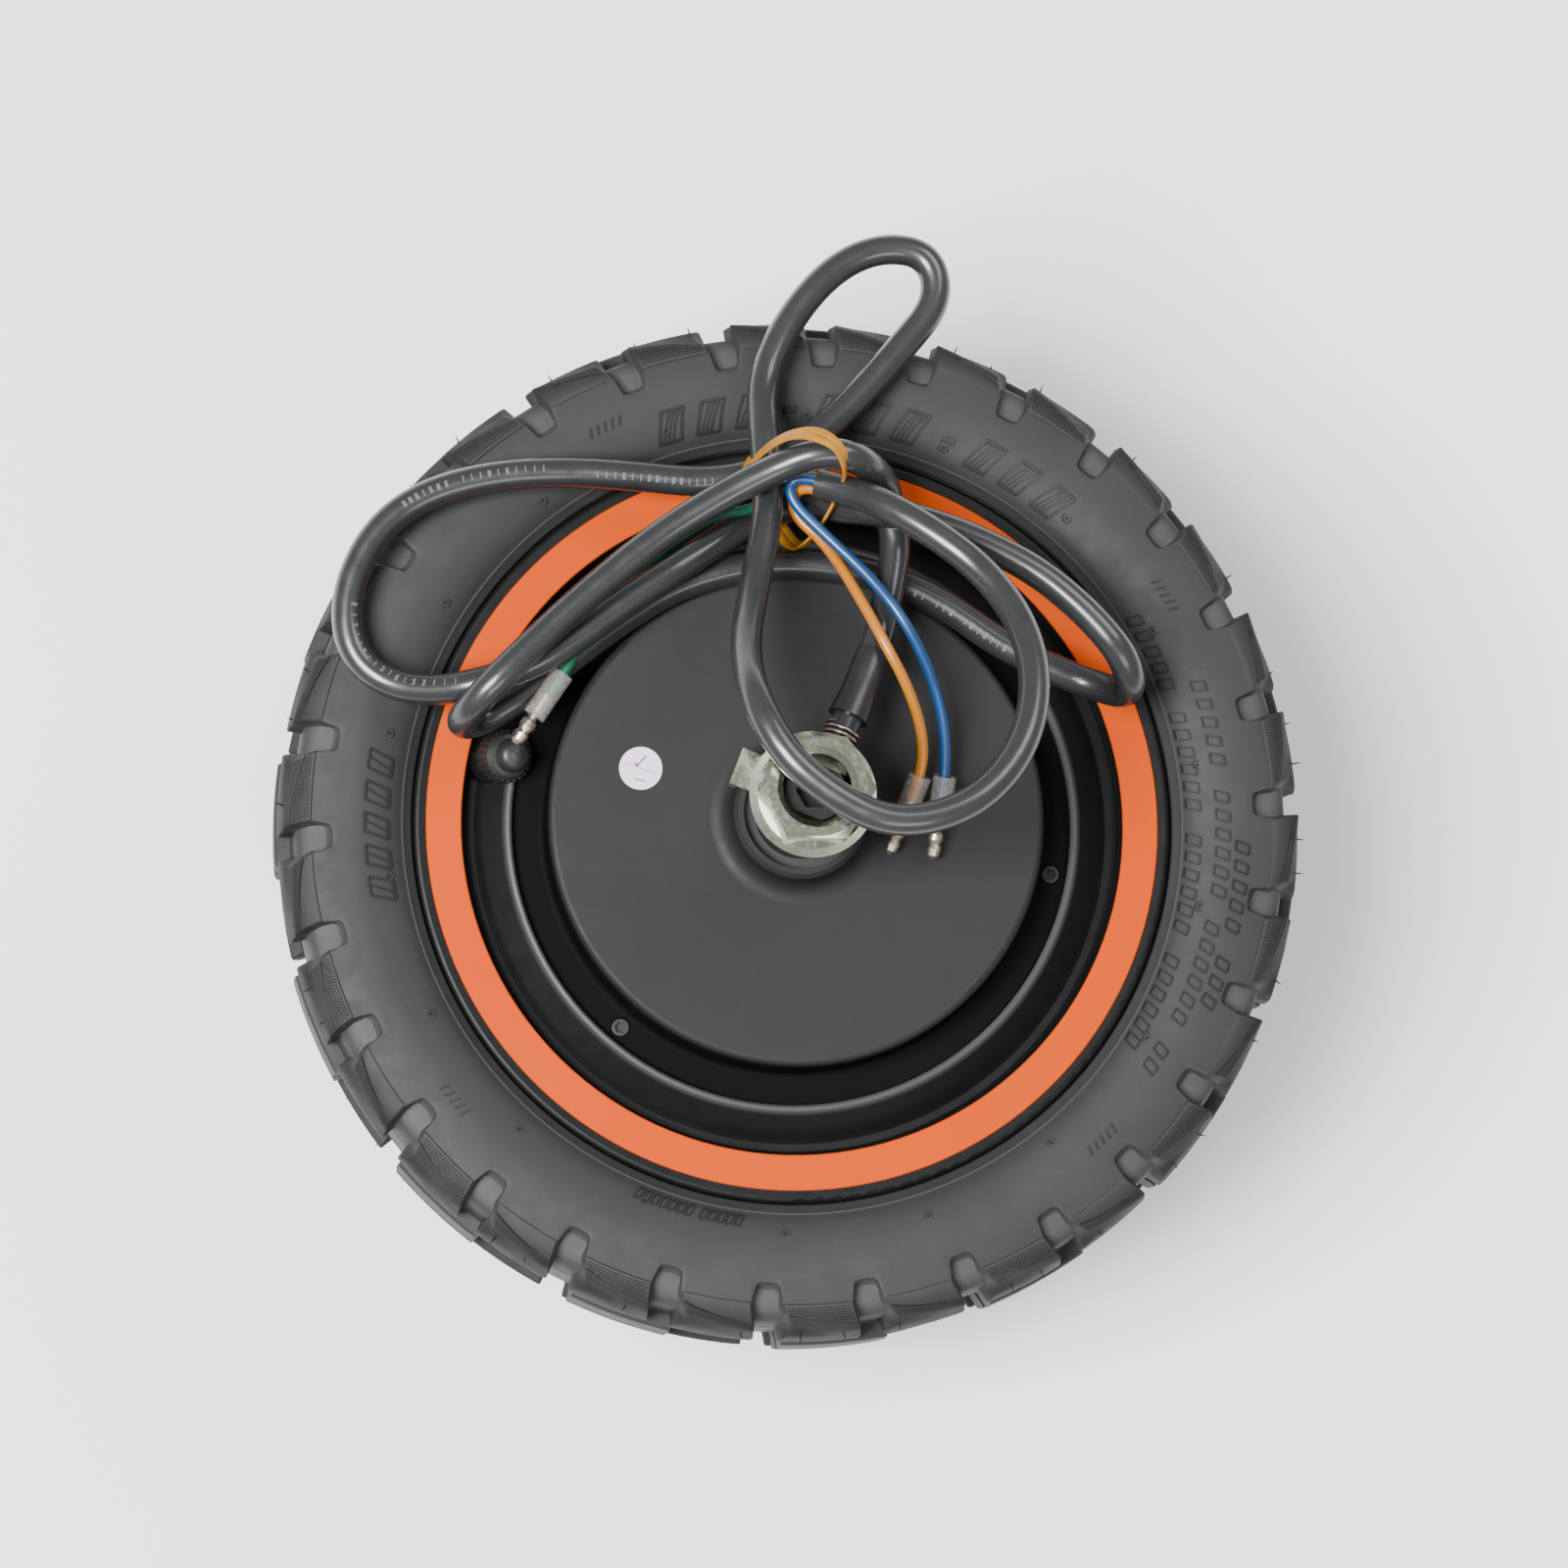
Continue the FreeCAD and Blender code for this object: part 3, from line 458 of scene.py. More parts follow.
# ---------------------------------------------------------------- tyre
LUGS = 30                  # shoulder lugs on each side
PITCH = 360 / LUGS         # one shoulder lug and one notch
LUG_PHASE = (8.6, 8.6)     # angle of a lug's middle on the upper and lower side
LUG_HALF = 4.15            # degrees from a lug's middle to the top of its wall
WALL = 0.34                # degrees that a wall leans out over
LUG_BASE = 117.9           # radius where a shoulder lug begins
SIDEWALL = [(95.2, 30.3), (97.0, 31.9), (98.6, 32.9), (100.8, 33.7), (103.0, 34.3), (107.0, 35.0),
            (111.0, 35.05), (116.0, 34.7), (120.0, 34.0)]


def sidewall_z(radius):
    for (r0, z0), (r1, z1) in zip(SIDEWALL, SIDEWALL[1:]):
        if radius <= r1:
            return z0 + (z1 - z0) * (radius - r0) / (r1 - r0)
    return SIDEWALL[-1][1]


def smooth(value, low, high):
    f = max(0.0, min(1.0, (value - low) / (high - low)))
    return f * f * (3 - 2 * f)


def lug_edge(t):
    """Radius of the shoulder lug's outer top edge, from t = -1 at its clockwise end to +1."""
    return 123.5 + 0.9 * t


def lug_line(t, hatched):
    """Radius of the curved line across a lug."""
    if hatched:
        return 121.5 + 1.4 * t + 0.5 * (1 - t * t)
    return min(lug_edge(t) - 0.8, 121.2 + 1.3 * t + 0.7 * (1 - t * t))


def lug_top_z(radius, t, hatched):
    line, edge = lug_line(t, hatched), lug_edge(t)
    if radius <= line:
        return 34.75 - 0.85 * (radius - LUG_BASE) / (line - LUG_BASE)
    drop = 2.6 if hatched else 1.7
    return 33.9 - drop * (radius - line) / (edge - line)


def lug_slide(offset, radius, z):
    """Degrees that a shoulder point moves sideways: the lugs lean, and widen slightly down the face."""
    rise = max(0.0, min(7.0, radius - LUG_BASE))
    left = 0.24 * rise * smooth(z, 22.0, 31.0)
    right = 0.10 * rise + 0.3 * (1 - smooth(z, 19.0, 31.5)) * smooth(radius, 121.0, 124.0)
    if abs(offset) <= LUG_HALF:
        share = (offset + LUG_HALF) / (2 * LUG_HALF)
    else:
        gap = PITCH - 2 * LUG_HALF
        along = offset - LUG_HALF if offset > 0 else offset + PITCH - LUG_HALF
        share = 1 - along / gap
    return (left + (right - left) * share) * smooth(z, 15.5, 19.0)


def shoulder_column(offset, hatched, notch):
    """(radius, z) points of the shoulder from sidewall to crown, at an angle from the lug's middle."""
    t = max(-1.0, min(1.0, offset / LUG_HALF))
    if notch:
        depth = min(1.0, (abs(offset) - LUG_HALF - WALL) / (PITCH / 2 - LUG_HALF - WALL))
        start = 112.6 + 1.2 * (1 - depth) ** 6
        return [(start - 0.6, sidewall_z(start - 0.6)), (start, sidewall_z(start) - 0.1), (start + 0.3, 33.9),
                (start + 0.8, 31.9), (start + 1.6, 31.1), (117.9, 30.7), (118.5, 30.5),
                (119.1, 30.3), (119.7, 30.1),
                (120.3, 29.8), (120.9, 29.3), (121.4, 28.5), (121.8, 27.2), (122.1, 25.0), (122.3, 21.5),
                (122.4, 19.0), (122.5, 17.6), (122.6, 16.4)]
    line, edge = lug_line(t, hatched), lug_edge(t)
    fall = 0.35 if abs(offset) > LUG_HALF - 0.05 else 0.0
    sunk = 0.45 if hatched or t < 0.45 else 0.0

    def top(radius, low=0.0):
        return (radius, lug_top_z(radius, t, hatched) - fall - low)

    inner = LUG_BASE
    face = [(inner - 1.2, sidewall_z(inner - 1.2)), (inner - 0.3, sidewall_z(inner - 0.3) - 0.1 * hatched),
            top(inner, 0.1), top(inner + 0.4), top((inner + line) / 2), top(line - 0.3), top(line, sunk),
            top(line + 0.3),
            top((line + edge) / 2), top(edge - 0.4), top(edge, 0.12)]
    shrink = fall * 0.8
    return face + [(edge + 0.5 - shrink, face[-1][1] - 1.2), (124.9 - shrink, 27.8), (125.6 - shrink, 24.6),
                   (126.1 - shrink, 20.5), (126.2 - shrink, 18.6), (125.8 - shrink, 18.0), (123.2, 17.2)]


def crown_column(inside):
    """Centre block between the shoulder and the middle plane, or the groove beside it."""
    if inside:
        return [(122.9, 15.9), (123.2, 15.2), (126.3, 14.6), (126.9, 14.0), (127.3, 9.0), (127.45, 4.0),
                (127.2, 2.4), (126.6, 1.9), (123.1, 1.2)]
    return [(122.8, z) for z in (15.9, 15.2, 14.6, 14.0, 9.0, 4.0, 2.4, 1.9, 1.2)]


BLOCK = (-9.5, 2.4)        # a centre block's ends, in degrees from the notch after a hatched lug


def side_states(degrees, phase):
    """One side of the tyre at an angle: offset from the lug's middle, lug number, on a centre block."""
    number = round((degrees - phase) / PITCH)
    offset = degrees - phase - number * PITCH
    behind = (degrees - phase - PITCH / 2 + PITCH) % (2 * PITCH) - PITCH
    return offset, number, BLOCK[0] <= behind <= BLOCK[1]


BEYOND_WALL = 0.03         # from a wall's foot to the next column
LEAST_STEP = 0.025         # columns nearer than this are merged


def column_angles():
    """Angles of the mesh's columns over two pitches, crowded at every wall of both sides."""
    stops = []
    for phase in LUG_PHASE:
        marks = [LUG_HALF - 0.2, LUG_HALF, LUG_HALF + WALL + BEYOND_WALL, LUG_HALF + WALL + 0.2,
                 LUG_HALF + WALL + 0.5,
                 PITCH / 2 - 0.35, 2.2, 3.3, 1.1]
        for turn in (0, PITCH):
            stops += [phase + turn + s * m for m in marks for s in (1, -1)] + [phase + turn]
        for end, outward in ((BLOCK[0], -1), (BLOCK[1], 1)):
            stops += [phase + PITCH / 2 + end, phase + PITCH / 2 + end + outward * 0.35]
    stops = sorted(s % (2 * PITCH) for s in stops)
    kept = [stops[0]]
    for stop in stops[1:]:
        if stop - kept[-1] > LEAST_STEP:
            kept.append(stop)
    return kept


NOTCH_TINT = [0, 0.1, 0.3, 0.5, 0.6, 0.6, 0.62, 0.65, 0.68, 0.7, 0.75, 0.8, 0.7, 0.4, 0.1, 0, 0, 0]


def half_column(degrees, side):
    """One side's (radius, z, tint, slide) points from the bead to the middle plane."""
    offset, number, block = side_states(degrees, LUG_PHASE[side])
    hatched = number % 2 == 0
    notch = abs(offset) > LUG_HALF + 0.01
    bead = [(82.9, 17.0, 0), (82.9, 23.8, 0), (84.2, 25.15, 0), (92.2, 25.15, 0), (93.9, 26.6, 0),
            (93.6, 28.9, 0), (94.3, 29.7, 0), (95.2, 30.35, 0), (95.6, 30.95, 0.12), (96.0, 31.0, 0.05)]
    wall = [(r, sidewall_z(r), 0) for r in (97.0, 98.6, 100.8, 103.0, 105.0, 107.0, 109.0, 111.0)]
    tints = NOTCH_TINT if notch else [0] * 18
    shoulder = [(r, z, k) for (r, z), k in zip(shoulder_column(offset, hatched, notch), tints)]
    points = bead + wall + shoulder + [(r, z, 0) for r, z in crown_column(block)]
    return [(r, z, k, lug_slide(offset, r, z)) for r, z, k in points]


def tyre_column(degrees):
    """One closed loop of (radius, z, tint, slide) points round the tyre's section."""
    upper, lower = half_column(degrees, 0), half_column(degrees, 1)
    liner = [(90.0, -18.6), (94.0, -24.0), (99.6, -28.0), (107.0, -29.0), (114.0, -26.6), (118.6, -20.0),
             (120.4, -10.0), (120.6, 0.0)]
    liner += [(r, -z) for r, z in reversed(liner[:-1])]
    return upper + [(r, -z, k, s) for r, z, k, s in reversed(lower)] + [(r, z, 0, 0) for r, z in liner]


def make_tyre(materials):
    steps = column_angles()
    angles = [i * 2 * PITCH + s for i in range(LUGS // 2) for s in steps]
    points, tints = [], []
    for degrees in angles:
        column = tyre_column(degrees)
        points += [polar(r, degrees + slide, z) for r, z, _, slide in column]
        tints += [k for _, _, k, _ in column]
    rows, count = len(column), len(angles)
    faces = [(i * rows + j, i * rows + (j + 1) % rows, (i + 1) % count * rows + (j + 1) % rows,
              (i + 1) % count * rows + j) for i in range(count) for j in range(rows)]
    tyre = mesh_piece("tyre_rubber", points, faces, materials["tyre"], WHEEL, 32, ["tyre"])
    layer = tyre.data.attributes.new("tint", "FLOAT", "POINT")
    layer.data.foreach_set("value", tints)


KNURL_ROWS, KNURL_ROW_STEP = 8, 0.62       # rows of diamonds, counted outwards
KNURL_STEP = 0.35                          # degrees between the diamonds of a row
KNURL_LONG, KNURL_WIDE = 0.29, 0.155       # half a diamond outwards, and sideways in degrees
KNURL_HEIGHT, KNURL_SUNK = 0.36, 0.12


def hatched_top(side, middle, offset, step, radius, lift):
    """Point above a hatched lug's top, at offset + step from the lug's middle."""
    z = lug_top_z(radius, max(-1, min(1, (offset + step) / LUG_HALF)), True)
    place = polar(radius, middle + offset + step + lug_slide(offset + step, radius, z), z + lift)
    return (place[0], place[1], -place[2]) if side else place


def make_knurls(materials):
    """Small diamonds moulded into every second lug."""
    heap = Heap()
    corners = ((-KNURL_LONG, 0), (0, KNURL_WIDE), (KNURL_LONG, 0), (0, -KNURL_WIDE))
    for side in (0, 1):
        for lug in range(0, LUGS, 2):
            middle = lug * PITCH + LUG_PHASE[side]
            for row in range(KNURL_ROWS):
                radius = LUG_BASE + 0.75 + row * KNURL_ROW_STEP
                for k in range(-12, 13):
                    offset = (k + 0.5 * (row % 2)) * KNURL_STEP
                    if abs(offset / LUG_HALF) > 0.92 or radius > lug_line(offset / LUG_HALF, True) - 0.5:
                        continue
                    base = [hatched_top(side, middle, offset, step, radius + out, -KNURL_SUNK)
                            for out, step in corners]
                    tip = hatched_top(side, middle, offset, 0, radius, KNURL_HEIGHT)
                    heap.add((base[::-1] if side else base) + [tip],
                             [(1, 0, 4), (2, 1, 4), (3, 2, 4), (0, 3, 4), (0, 1, 2, 3)])
    mesh_piece("tyre_knurls", heap.points, heap.faces, materials["knurl"], WHEEL, 20)


MARK_HEIGHT, LINE_HEIGHT, BAR_HEIGHT = 0.6, 0.45, 0.4    # outlines, the strokes in them, short bars
MARK_ROOT = 0.35                                         # how far every mark is sunk in the rubber
LARGE_START, LARGE_STEP, LARGE_R = 107.5, 5.6, 102.2
LARGE_COUNT, LARGE_DASHES = 11, (3, 7)                   # the second says which marks are dashes
SMALL_ROWS = ((31, 98.2, 26), (19, 105.2, 22), (-3, 110.1, 9))    # first angle, radius and count
SMALL_STEP = 2.55


def raised_patch(heap, side, degrees, radius, corners, height=MARK_HEIGHT):
    """Raised flat shape on a sidewall. Corners are (along, out) in millimetres from a point on it."""
    loops = []
    for lift in (-MARK_ROOT, height):
        loop = []
        for along, out in corners:
            r = radius + out
            loop.append(polar(r, degrees - math.degrees(along / r), side * (sidewall_z(r) + lift)))
        loops.append(loop)
    if side > 0:
        heap.prism(loops[0], loops[1])
    else:
        heap.prism(loops[0][::-1], loops[1][::-1])


def bar(x0, y0, x1, y1, width):
    """Corners of a straight stroke."""
    way = Vector((x1 - x0, y1 - y0)).normalized() * (width / 2)
    return [(x0 + way.y, y0 - way.x), (x0 - way.y, y0 + way.x),
            (x1 - way.y, y1 + way.x), (x1 + way.y, y1 - way.x)]


def slanted_frame(heap, side, degrees, radius, width, height, strokes):
    """A slanted outline with hatching in it, in place of a moulded letter."""
    lean = 0.32 * height
    low = [(-width / 2 - lean / 2, -height / 2), (width / 2 - lean / 2, -height / 2)]
    high = [(-width / 2 + lean / 2, height / 2), (width / 2 + lean / 2, height / 2)]
    line = 0.085 * height
    for a, b in ((low[0], low[1]), (low[1], high[1]), (high[1], high[0]), (high[0], low[0])):
        raised_patch(heap, side, degrees, radius, bar(*a, *b, line))
    for k in range(strokes):
        f = (k + 1) / (strokes + 1)
        foot = (low[0][0] + width * f * 0.8, low[0][1])
        head = (high[0][0] + width * (0.2 + 0.8 * f), high[0][1])
        raised_patch(heap, side, degrees, radius, bar(*foot, *head, line * 0.8), LINE_HEIGHT)


def make_sidewall_marks(materials):
    """Generic raised marks where a tyre carries its size and rating."""
    heap = Heap()
    for side in (1, -1):
        for k in range(LARGE_COUNT):
            degrees = LARGE_START - k * LARGE_STEP
            if k in LARGE_DASHES:
                raised_patch(heap, side, degrees, LARGE_R, bar(-1.6, 0, 1.6, 0, 1.5))
            else:
                slanted_frame(heap, side, degrees, LARGE_R, 5.6, 7.6, 3)
        for start, radius, count in SMALL_ROWS:
            for k in range(count):
                if k % 7 != 5:
                    slanted_frame(heap, side, start - k * SMALL_STEP, radius, 2.4, 3.3, 0)
        for k in range(5):
            slanted_frame(heap, side, 190 - k * 4.3, 102.0, 4.6, 5.8, 1)
        for middle in (34, 118, 222, 316):
            for k in range(5):
                raised_patch(heap, side, middle - k * 1.05, 107.6, bar(-0.4, -1.2, 0.4, 1.2, 0.45),
                             BAR_HEIGHT)
        for k in range(12):
            slanted_frame(heap, side, 262 - k * 1.25 + (k > 4) * -0.8, 98.3, 1.4, 2.6, 0)
    mesh_piece("sidewall_marks", heap.points, heap.faces, materials["mark"], WHEEL, 25)


VENTS, VENT_START = 18, 8.5                # vents on each sidewall, and the first one's angle
VENT_R, VENT_LINE_R = 1.15, 0.22           # a vent's ring and the half thickness of its line


def make_vents(materials):
    """The mould's vents on the sidewalls, and the whiskers of rubber they leave on the lugs."""
    vents = Heap()
    for side in (1, -1):
        for k in range(VENTS):
            degrees, radius = VENT_START + 360 / VENTS * k, 100.2 + (k % 3) * 0.6
            centre = Vector(polar(radius, degrees, side * (sidewall_z(radius) + 0.10)))
            ring = [centre + Vector((VENT_R * math.cos(a), VENT_R * math.sin(a), 0)) for a in turns(14)]
            vents.tube(ring, VENT_LINE_R, 6, closed=True)
            vents.tube([centre - Vector((0, 0, 0.4 * side)), centre + Vector((0, 0, 0.35 * side)),
                        centre + Vector((0.1, 0, 0.75 * side))], [0.42, 0.34, 0.12], 7)
    for k in range(LUGS):
        for side in (1, -1):
            for t in (DICE.uniform(-0.9, -0.5), DICE.uniform(0.2, 0.8)):
                if DICE.random() < 0.3:
                    continue
                degrees = k * PITCH + LUG_PHASE[side < 0] + t * LUG_HALF + 1.0
                start = Vector(polar(124.6, degrees, side * 28.0))
                out = Vector(polar(1, degrees + DICE.uniform(-25, 25), side * DICE.uniform(-0.1, 0.5)))
                long = DICE.uniform(1.0, 2.4)
                vents.tube([start, start + out * long * 0.6, start + out * long + Vector((0, 0, 0.3))],
                           [0.24, 0.17, 0.07], 5)
    mesh_piece("tyre_vents", vents.points, vents.faces, materials["tyre"], WHEEL, 40)


# ---------------------------------------------------------------- the lead
CABLE = [
    (3.8, 7.6, 61.2), (11.6, 23.6, 59.4), (18.0, 40.4, 56.6), (21.1, 54.3, 52.0), (23.1, 65.0, 50.6),
    (21.7, 73.4, 50.8), (19.6, 80.7, 55.0), (12.4, 83.8, 67.0), (3.2, 84.7, 68.8), (-6.6, 81.4, 65.5),
    (-19.3, 75.0, 63.5), (-35.6, 64.6, 62.0), (-51.4, 51.3, 61.5), (-66.0, 37.4, 61.8),
    # the left fold stands on edge
    (-76.7, 26.4, 62.0), (-82.9, 20.1, 52.0), (-78.7, 21.6, 42.0), (-67.8, 27.6, 42.0),
    # back along the cover's edge
    (-55.9, 37.8, 42.0), (-43.6, 47.5, 42.0), (-29.8, 56.4, 42.0), (-13.1, 61.3, 42.0), (3.5, 62.1, 42.0),
    (21.4, 59.2, 42.0), (36.3, 52.3, 42.0), (49.6, 42.8, 42.0), (61.7, 37.0, 42.2),
    # the right fold
    (72.8, 32.6, 43.0), (80.5, 28.9, 52.0), (77.5, 36.8, 61.5), (67.9, 48.0, 61.5), (56.4, 57.8, 60.5),
    (43.1, 64.7, 60.0), (30.2, 69.4, 59.8), (19.1, 72.1, 60.2), (10.2, 74.0, 52.2), (1.4, 76.5, 44.8),
    (-8.4, 74.5, 42.6), (-18.7, 67.3, 47.0), (-30.3, 58.8, 51.6), (-42.1, 50.7, 52.4),
    (-53.9, 41.7, 53.1), (-65.7, 34.1, 53.2), (-77.5, 29.8, 52.6), (-88.1, 28.6, 47.5),
    # the left loop lies on the tyre
    (-98.2, 30.3, 43.0), (-106.8, 36.1, 42.4), (-110.1, 45.6, 42.4), (-108.7, 57.4, 42.4),
    (-102.3, 69.3, 42.6), (-91.6, 77.6, 42.8), (-75.0, 82.5, 43.0), (-57.1, 83.9, 43.0),
    (-39.4, 82.9, 43.5), (-23.9, 81.4, 44.0), (-9.7, 83.7, 44.0),
    # the top loop reaches past the tread
    (1.5, 91.1, 44.0), (12.5, 101.3, 43.0), (24.9, 115.8, 42.0), (34.9, 128.1, 42.0), (32.5, 140.0, 42.0),
    (20.2, 141.7, 42.0), (7.8, 135.5, 42.0), (-3.6, 121.2, 42.0), (-9.7, 105.2, 43.5), (-9.2, 91.1, 52.0),
    # down over the nut and back up to the tie
    (-8.6, 79.2, 55.0), (-9.0, 68.5, 59.5), (-13.0, 50.8, 67.5), (-16.5, 34.0, 82.0), (-14.8, 19.3, 98.0),
    (-7.9, 6.2, 100.8), (3.0, -2.8, 100.3), (14.8, -8.6, 100.2), (26.9, -7.8, 99.0), (38.9, -1.9, 97.0),
    (48.4, 9.9, 93.5), (52.5, 25.6, 88.0), (50.1, 41.5, 81.5), (41.4, 55.3, 75.0), (28.8, 65.1, 73.2),
    (18.3, 72.0, 69.2), (10.8, 76.3, 62.2), (3.5, 78.7, 59.0),
]
CABLE_D = 7.5
WIRES = {
    "yellow": [(3.2, 77.3, 58.3), (-1.6, 78.9, 56.2), (-2.8, 72.6, 52.4), (5.9, 64.8, 54.0),
               (13.8, 49.7, 60.5), (19.2, 38.5, 64.0), (24.8, 29.0, 61.0), (28.9, 19.6, 54.5),
               (29.7, 10.8, 49.4), (26.8, 3.4, 46.8)],
    "blue": [(2.8, 78.9, 60.5), (-3.0, 80.8, 58.0), (-3.6, 74.9, 57.8), (4.8, 66.6, 58.0),
             (15.0, 56.9, 59.4), (23.0, 46.4, 62.0), (29.4, 35.6, 59.0), (33.9, 24.1, 53.5),
             (35.5, 12.4, 49.4), (34.2, 3.0, 46.8)],
    "green": [(4.1, 79.9, 58.3), (-1.8, 81.8, 55.7), (-4.9, 78.4, 50.3), (-12.0, 73.9, 48.8),
              (-20.6, 72.6, 50.4), (-29.5, 66.9, 49.7), (-39.0, 58.2, 48.1), (-48.0, 48.4, 47.5),
              (-54.4, 39.0, 47.5), (-57.6, 33.2, 48.2), (-61.2, 27.8, 47.9)],
}
WIRE_D = 2.7


def nurbs_line(name, points, diameter, material=None):
    curve = bpy.data.curves.new(name, "CURVE")
    curve.dimensions = "3D"
    curve.bevel_depth = diameter / 2 * MM
    curve.bevel_resolution = 7
    curve.resolution_u = 8
    curve.use_fill_caps = True
    spline = curve.splines.new("NURBS")
    spline.points.add(len(points) - 1)
    for place, point in zip(spline.points, points):
        place.co = (*(c * MM for c in point), 1)
    spline.order_u = 3
    spline.use_endpoint_u = True
    if material:
        curve.materials.append(material)
    line = bpy.data.objects.new(name, curve)
    bpy.context.collection.objects.link(line)
    return line


def centreline(points, closed=False):
    """Points along the route's own spline, in millimetres."""
    bare = nurbs_line("route", points, 0)
    bare.data.splines[0].use_cyclic_u = closed
    bare.data.use_fill_caps = False
    mesh = bpy.data.meshes.new_from_object(bare)
    read = [v.co / MM for v in mesh.vertices]
    bpy.data.meshes.remove(mesh)
    bpy.data.objects.remove(bare)
    return read


def make_cable(materials):
    cable = nurbs_line("lead_cable", CABLE, CABLE_D, materials["jacket"])
    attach(cable, AXLE)
    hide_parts("main_cable")
    return cable


PRINT_SPANS = (                            # the places between which the cable is printed, and a lean
    ((-20, 82, 44), (-50, 84, 43), 0.25), ((-57, 84, 43), (-96, 75, 42.7), -0.1),
    ((-109, 52, 42.4), (-98, 31, 43), 0.45), ((24, 59, 42), (52, 41, 42), 0.35),
    ((-98, 31, 43), (-80, 29.3, 51), 0.3),
)
PRINT_STEP = 1.7                           # from one tick to the next
PRINT_HALF = 0.22                          # half a tick round the cable; this and the leans in radians
PRINT_SUNK, PRINT_PROUD = 0.1, 0.035


def make_legend(materials, route):
    """Short printed ticks along parts of the cable, in place of its lettering."""
    heap = Heap()
    for start, end, lean in PRINT_SPANS:
        first, last = sorted(min(range(len(route)), key=lambda i: (route[i] - Vector(p)).length)
                             for p in (start, end))
        low, high = lean - PRINT_HALF, lean + PRINT_HALF
        gone = 0.0
        for i in range(first, last):
            gone += (route[i + 1] - route[i]).length
            if gone < PRINT_STEP:
                continue
            gone = DICE.uniform(-1.2, 0.4) if DICE.random() < 0.12 else 0.0
            way = (route[i + 1] - route[i]).normalized()
            up = Vector((0, 0, 1))
            up = (up - way * up.dot(way)).normalized()
            side = way.cross(up)
            half = DICE.choice((0.35, 0.35, 0.8)) / 2
            outline = ((-half, low), (half, low), (half, lean), (half, high), (-half, high), (-half, lean))
            rings = []
            for radius in (CABLE_D / 2 - PRINT_SUNK, CABLE_D / 2 + PRINT_PROUD):
                rings.append([route[i] + way * along + (up * math.cos(a) + side * math.sin(a)) * radius
                              for along, a in outline])
            heap.prism(rings[0], rings[1])
    return mesh_piece("lead_print", heap.points, heap.faces, materials["legend"], AXLE, 30)


SPRING_TURNS, SPRING_PITCH, SPRING_WIRE_R = 7, 1.32, 0.47
SPRING_START = 3.9                         # from the lead's exit to the first turn
SPRING_STEPS = 28                          # points to a turn


def make_spring(materials):
    """Coil where the cable leaves the axle."""
    start, ahead = Vector(CABLE[0]), Vector(CABLE[1])
    way = (ahead - start).normalized()
    side = way.orthogonal().normalized()
    other = way.cross(side)
    radius = CABLE_D / 2 + 0.52
    path = []
    for k in range(SPRING_TURNS * SPRING_STEPS - 6):
        a = 2 * math.pi * k / SPRING_STEPS
        along = SPRING_START + a / (2 * math.pi) * SPRING_PITCH
        path.append(start + way * along + (side * math.cos(a) + other * math.sin(a)) * radius)
    heap = Heap()
    heap.tube(path, SPRING_WIRE_R, 8)
    return mesh_piece("spring_coil", heap.points, heap.faces, materials["spring"], AXLE, 60,
                      ["cable_spring"])


def make_sleeve(materials, route):
    """Heat-shrink sleeve, flared where it starts over the spring and shrunk tight towards its far end."""
    start = Vector(CABLE[0])
    part = [p for p in route if 13.0 < (p - start).length < 35.0 and p.y < 50]
    count = len(part)
    outer = []
    for i in range(count):
        flare, ripple = 0.75 * math.exp(-i * 5.0 / count), 0.05 * math.sin(i * 1.9)
        outer.append(CABLE_D / 2 + 0.62 + flare + ripple)
    outer[-1] -= 0.3
    inner = [CABLE_D / 2 + 0.12] * count
    heap = Heap()
    heap.tube(part + part[::-1], outer + inner[::-1], 28)
    return mesh_piece("shrink_sleeve", heap.points, heap.faces, materials["shrink"], AXLE, 50,
                      ["cable_sleeve"])


def make_wires(materials):
    wires = {}
    for colour, points in WIRES.items():
        wire = nurbs_line(colour + "_lead", points, WIRE_D, materials[colour])
        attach(wire, AXLE)
        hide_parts(colour + "_wire")
        wires[colour] = wire
    return wires


BAND = [
    (-11.4, 85.4, 56.5), (-7.4, 88.4, 65.4), (-0.6, 88.6, 72.6), (5.8, 86.4, 74.0), (9.2, 81.4, 71.4),
    (9.2, 79.4, 62.0), (7.2, 73.4, 55.6), (2.2, 66.4, 49.6), (-0.8, 65.4, 40.4), (-6.0, 75.0, 38.0),
    (-11.4, 85.8, 39.4), (-14.2, 85.6, 48.0),
]


def ribbon(heap, path, half_width, half_thick, shift):
    """Flat closed strap along a loop; its width lies along the loop's axis."""
    middle = sum(path, Vector()) / len(path)
    count = len(path)
    points = []
    for i, here in enumerate(path):
        way = (path[(i + 1) % count] - path[i - 1]).normalized()
        out = here - middle
        out = (out - way * out.dot(way)).normalized()
        across = way.cross(out)
        wave = 0.25 * math.sin(i * 0.37 + shift)
        for w, t in ((-1, -0.6), (-1, 0.6), (-0.6, 1), (0.6, 1), (1, 0.6), (1, -0.6), (0.6, -1), (-0.6, -1)):
            points.append(here + across * (w * half_width + shift + wave) + out * t * half_thick)
    faces = [(i * 8 + k, i * 8 + (k + 1) % 8, (i + 1) % count * 8 + (k + 1) % 8, (i + 1) % count * 8 + k)
             for i in range(count) for k in range(8)]
    heap.add(points, faces)


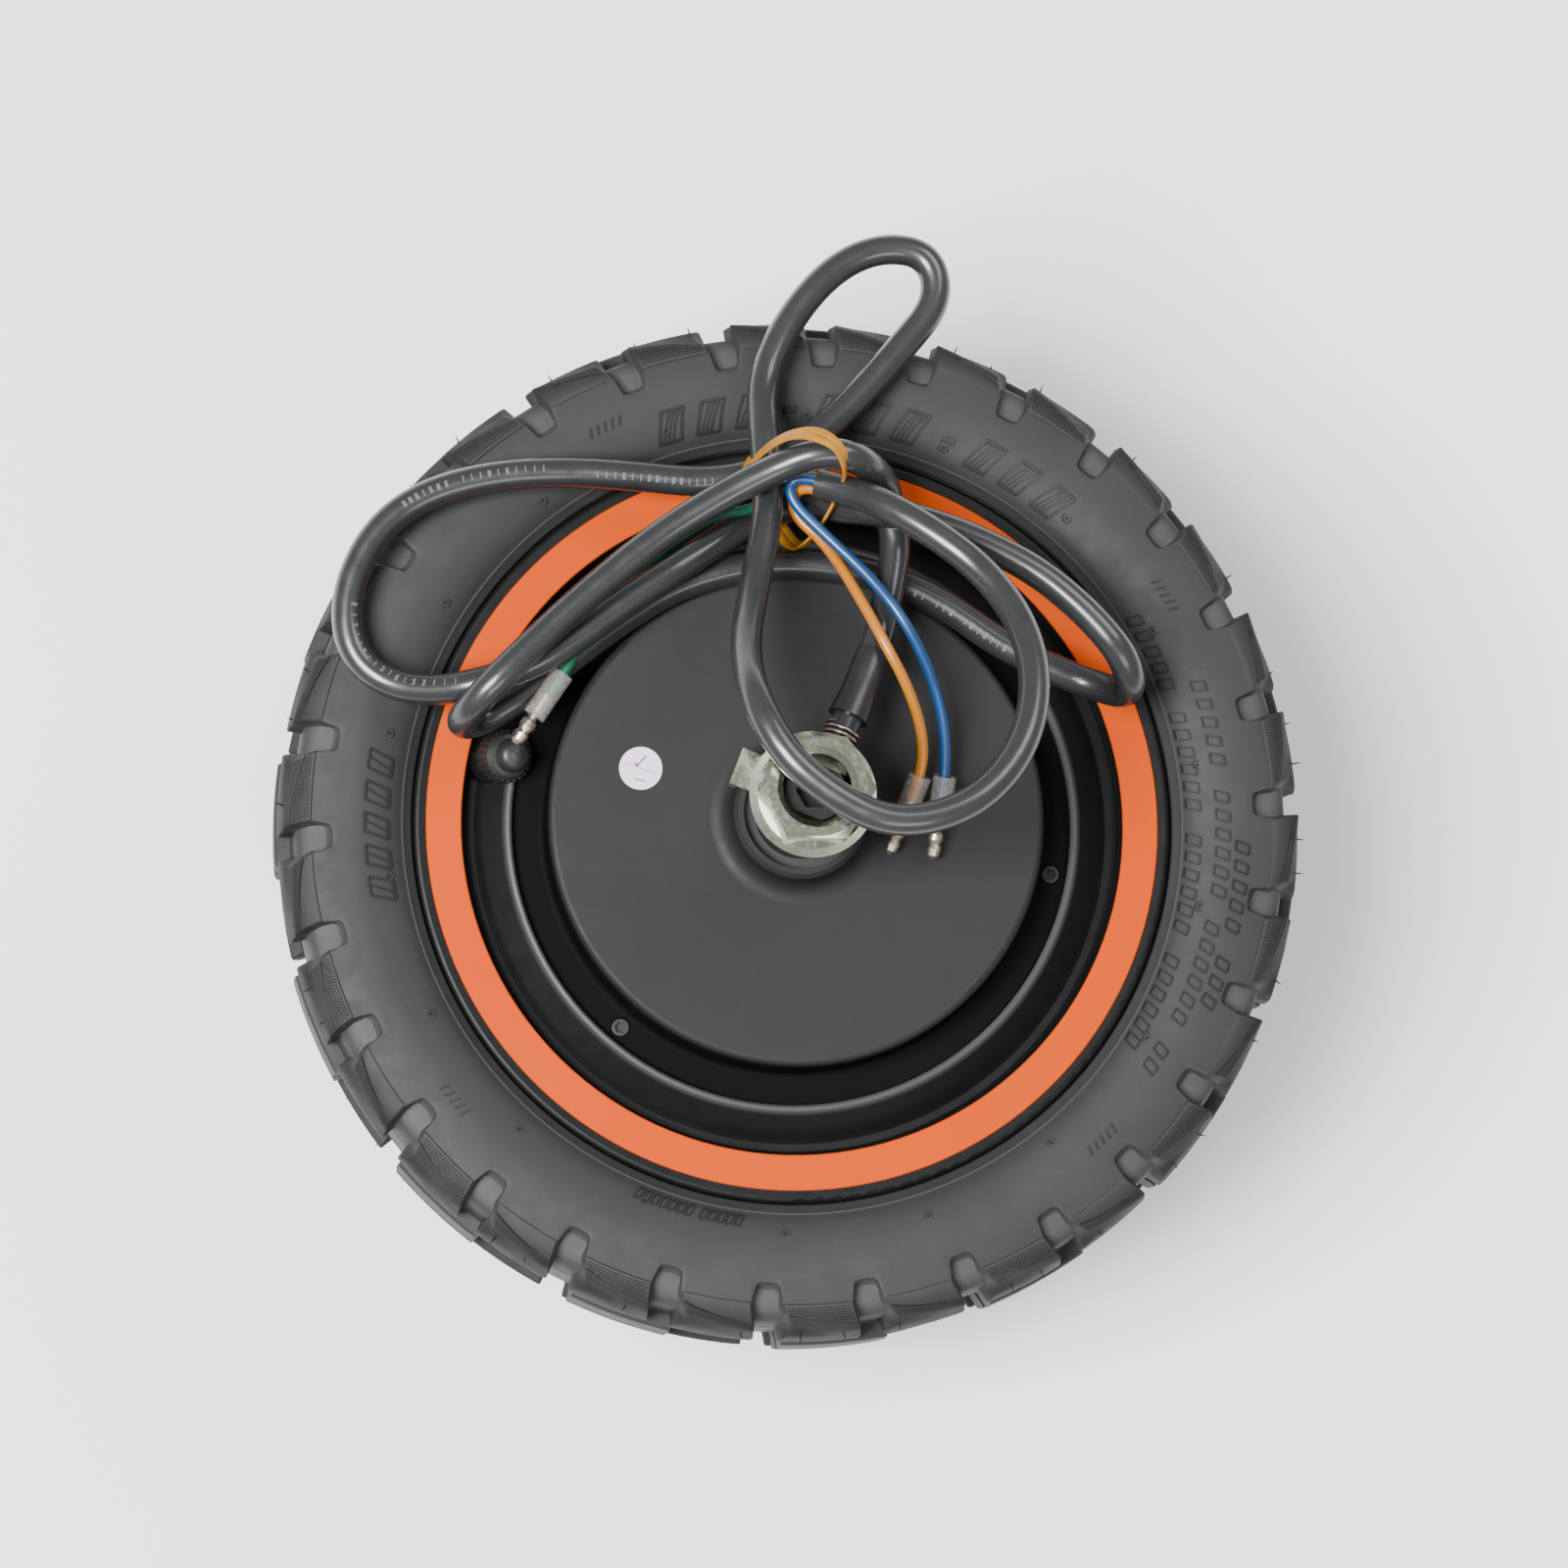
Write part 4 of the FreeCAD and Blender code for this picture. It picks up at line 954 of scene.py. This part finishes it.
BAND_HALF_WIDTH, BAND_HALF_THICK = 1.0, 0.42
BAND_SHIFT = 0.95                          # each turn's middle from the loop's own plane


def make_band(materials):
    """Two flat turns of one rubber band round the tied loops."""
    heap = Heap()
    path = centreline(BAND, closed=True)
    for shift in (-BAND_SHIFT, BAND_SHIFT):
        ribbon(heap, path, BAND_HALF_WIDTH, BAND_HALF_THICK, shift)
    return mesh_piece("tie_band", heap.points, heap.faces, materials["band"], AXLE, 60, ["rubber_band"])


# ---------------------------------------------------------------- small trim
STICKER_R, STICKER_LIFT, STICKER_TOP = 5.25, 0.01, 0.13     # the last two are above the cover
STICKER_STROKES = ((-4.0, 1.6, 4.0, -1.6, 0.22), (-1.6, 1.5, -0.7, 0.6, 0.5),
                   (-0.9, 0.7, 1.4, 3.0, 0.5), (-1.4, -2.6, 1.2, -3.2, 0.4))    # x, y, x, y, width


def make_sticker(materials):
    """Round inspection sticker with two plain rules and a tick on it."""
    low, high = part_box("inspection_sticker")
    cx, cy = (low[0] + high[0]) / 2 / MM, (low[1] + high[1]) / 2 / MM
    base = low[2] / MM
    heap = Heap()
    heap.prism(*([(cx + STICKER_R * math.cos(a), cy + STICKER_R * math.sin(a), base + lift)
                  for a in turns(40)] for lift in (STICKER_LIFT, STICKER_TOP)))
    mesh_piece("sticker_disc", heap.points, heap.faces, materials["sticker"], WHEEL, 30,
               ["inspection_sticker"])
    ink = Heap()
    for stroke in STICKER_STROKES:
        ink.prism(*([(cx + x, cy + y, base + lift) for x, y in bar(*stroke)] for lift in (0.12, 0.16)))
    mesh_piece("sticker_ink", ink.points, ink.faces, materials["ink"], WHEEL, 30)


# ---------------------------------------------------------------- build
def build():
    make_camera()
    make_studio()
    materials = make_materials()
    paint_nodes(materials)
    cable = make_cable(materials)
    route = centreline(CABLE)
    wires = make_wires(materials)
    pieces = [make_legend(materials, route), make_spring(materials), make_sleeve(materials, route),
              make_band(materials)]
    make_tyre(materials)
    make_knurls(materials)
    make_sidewall_marks(materials)
    make_vents(materials)
    make_sticker(materials)


build()
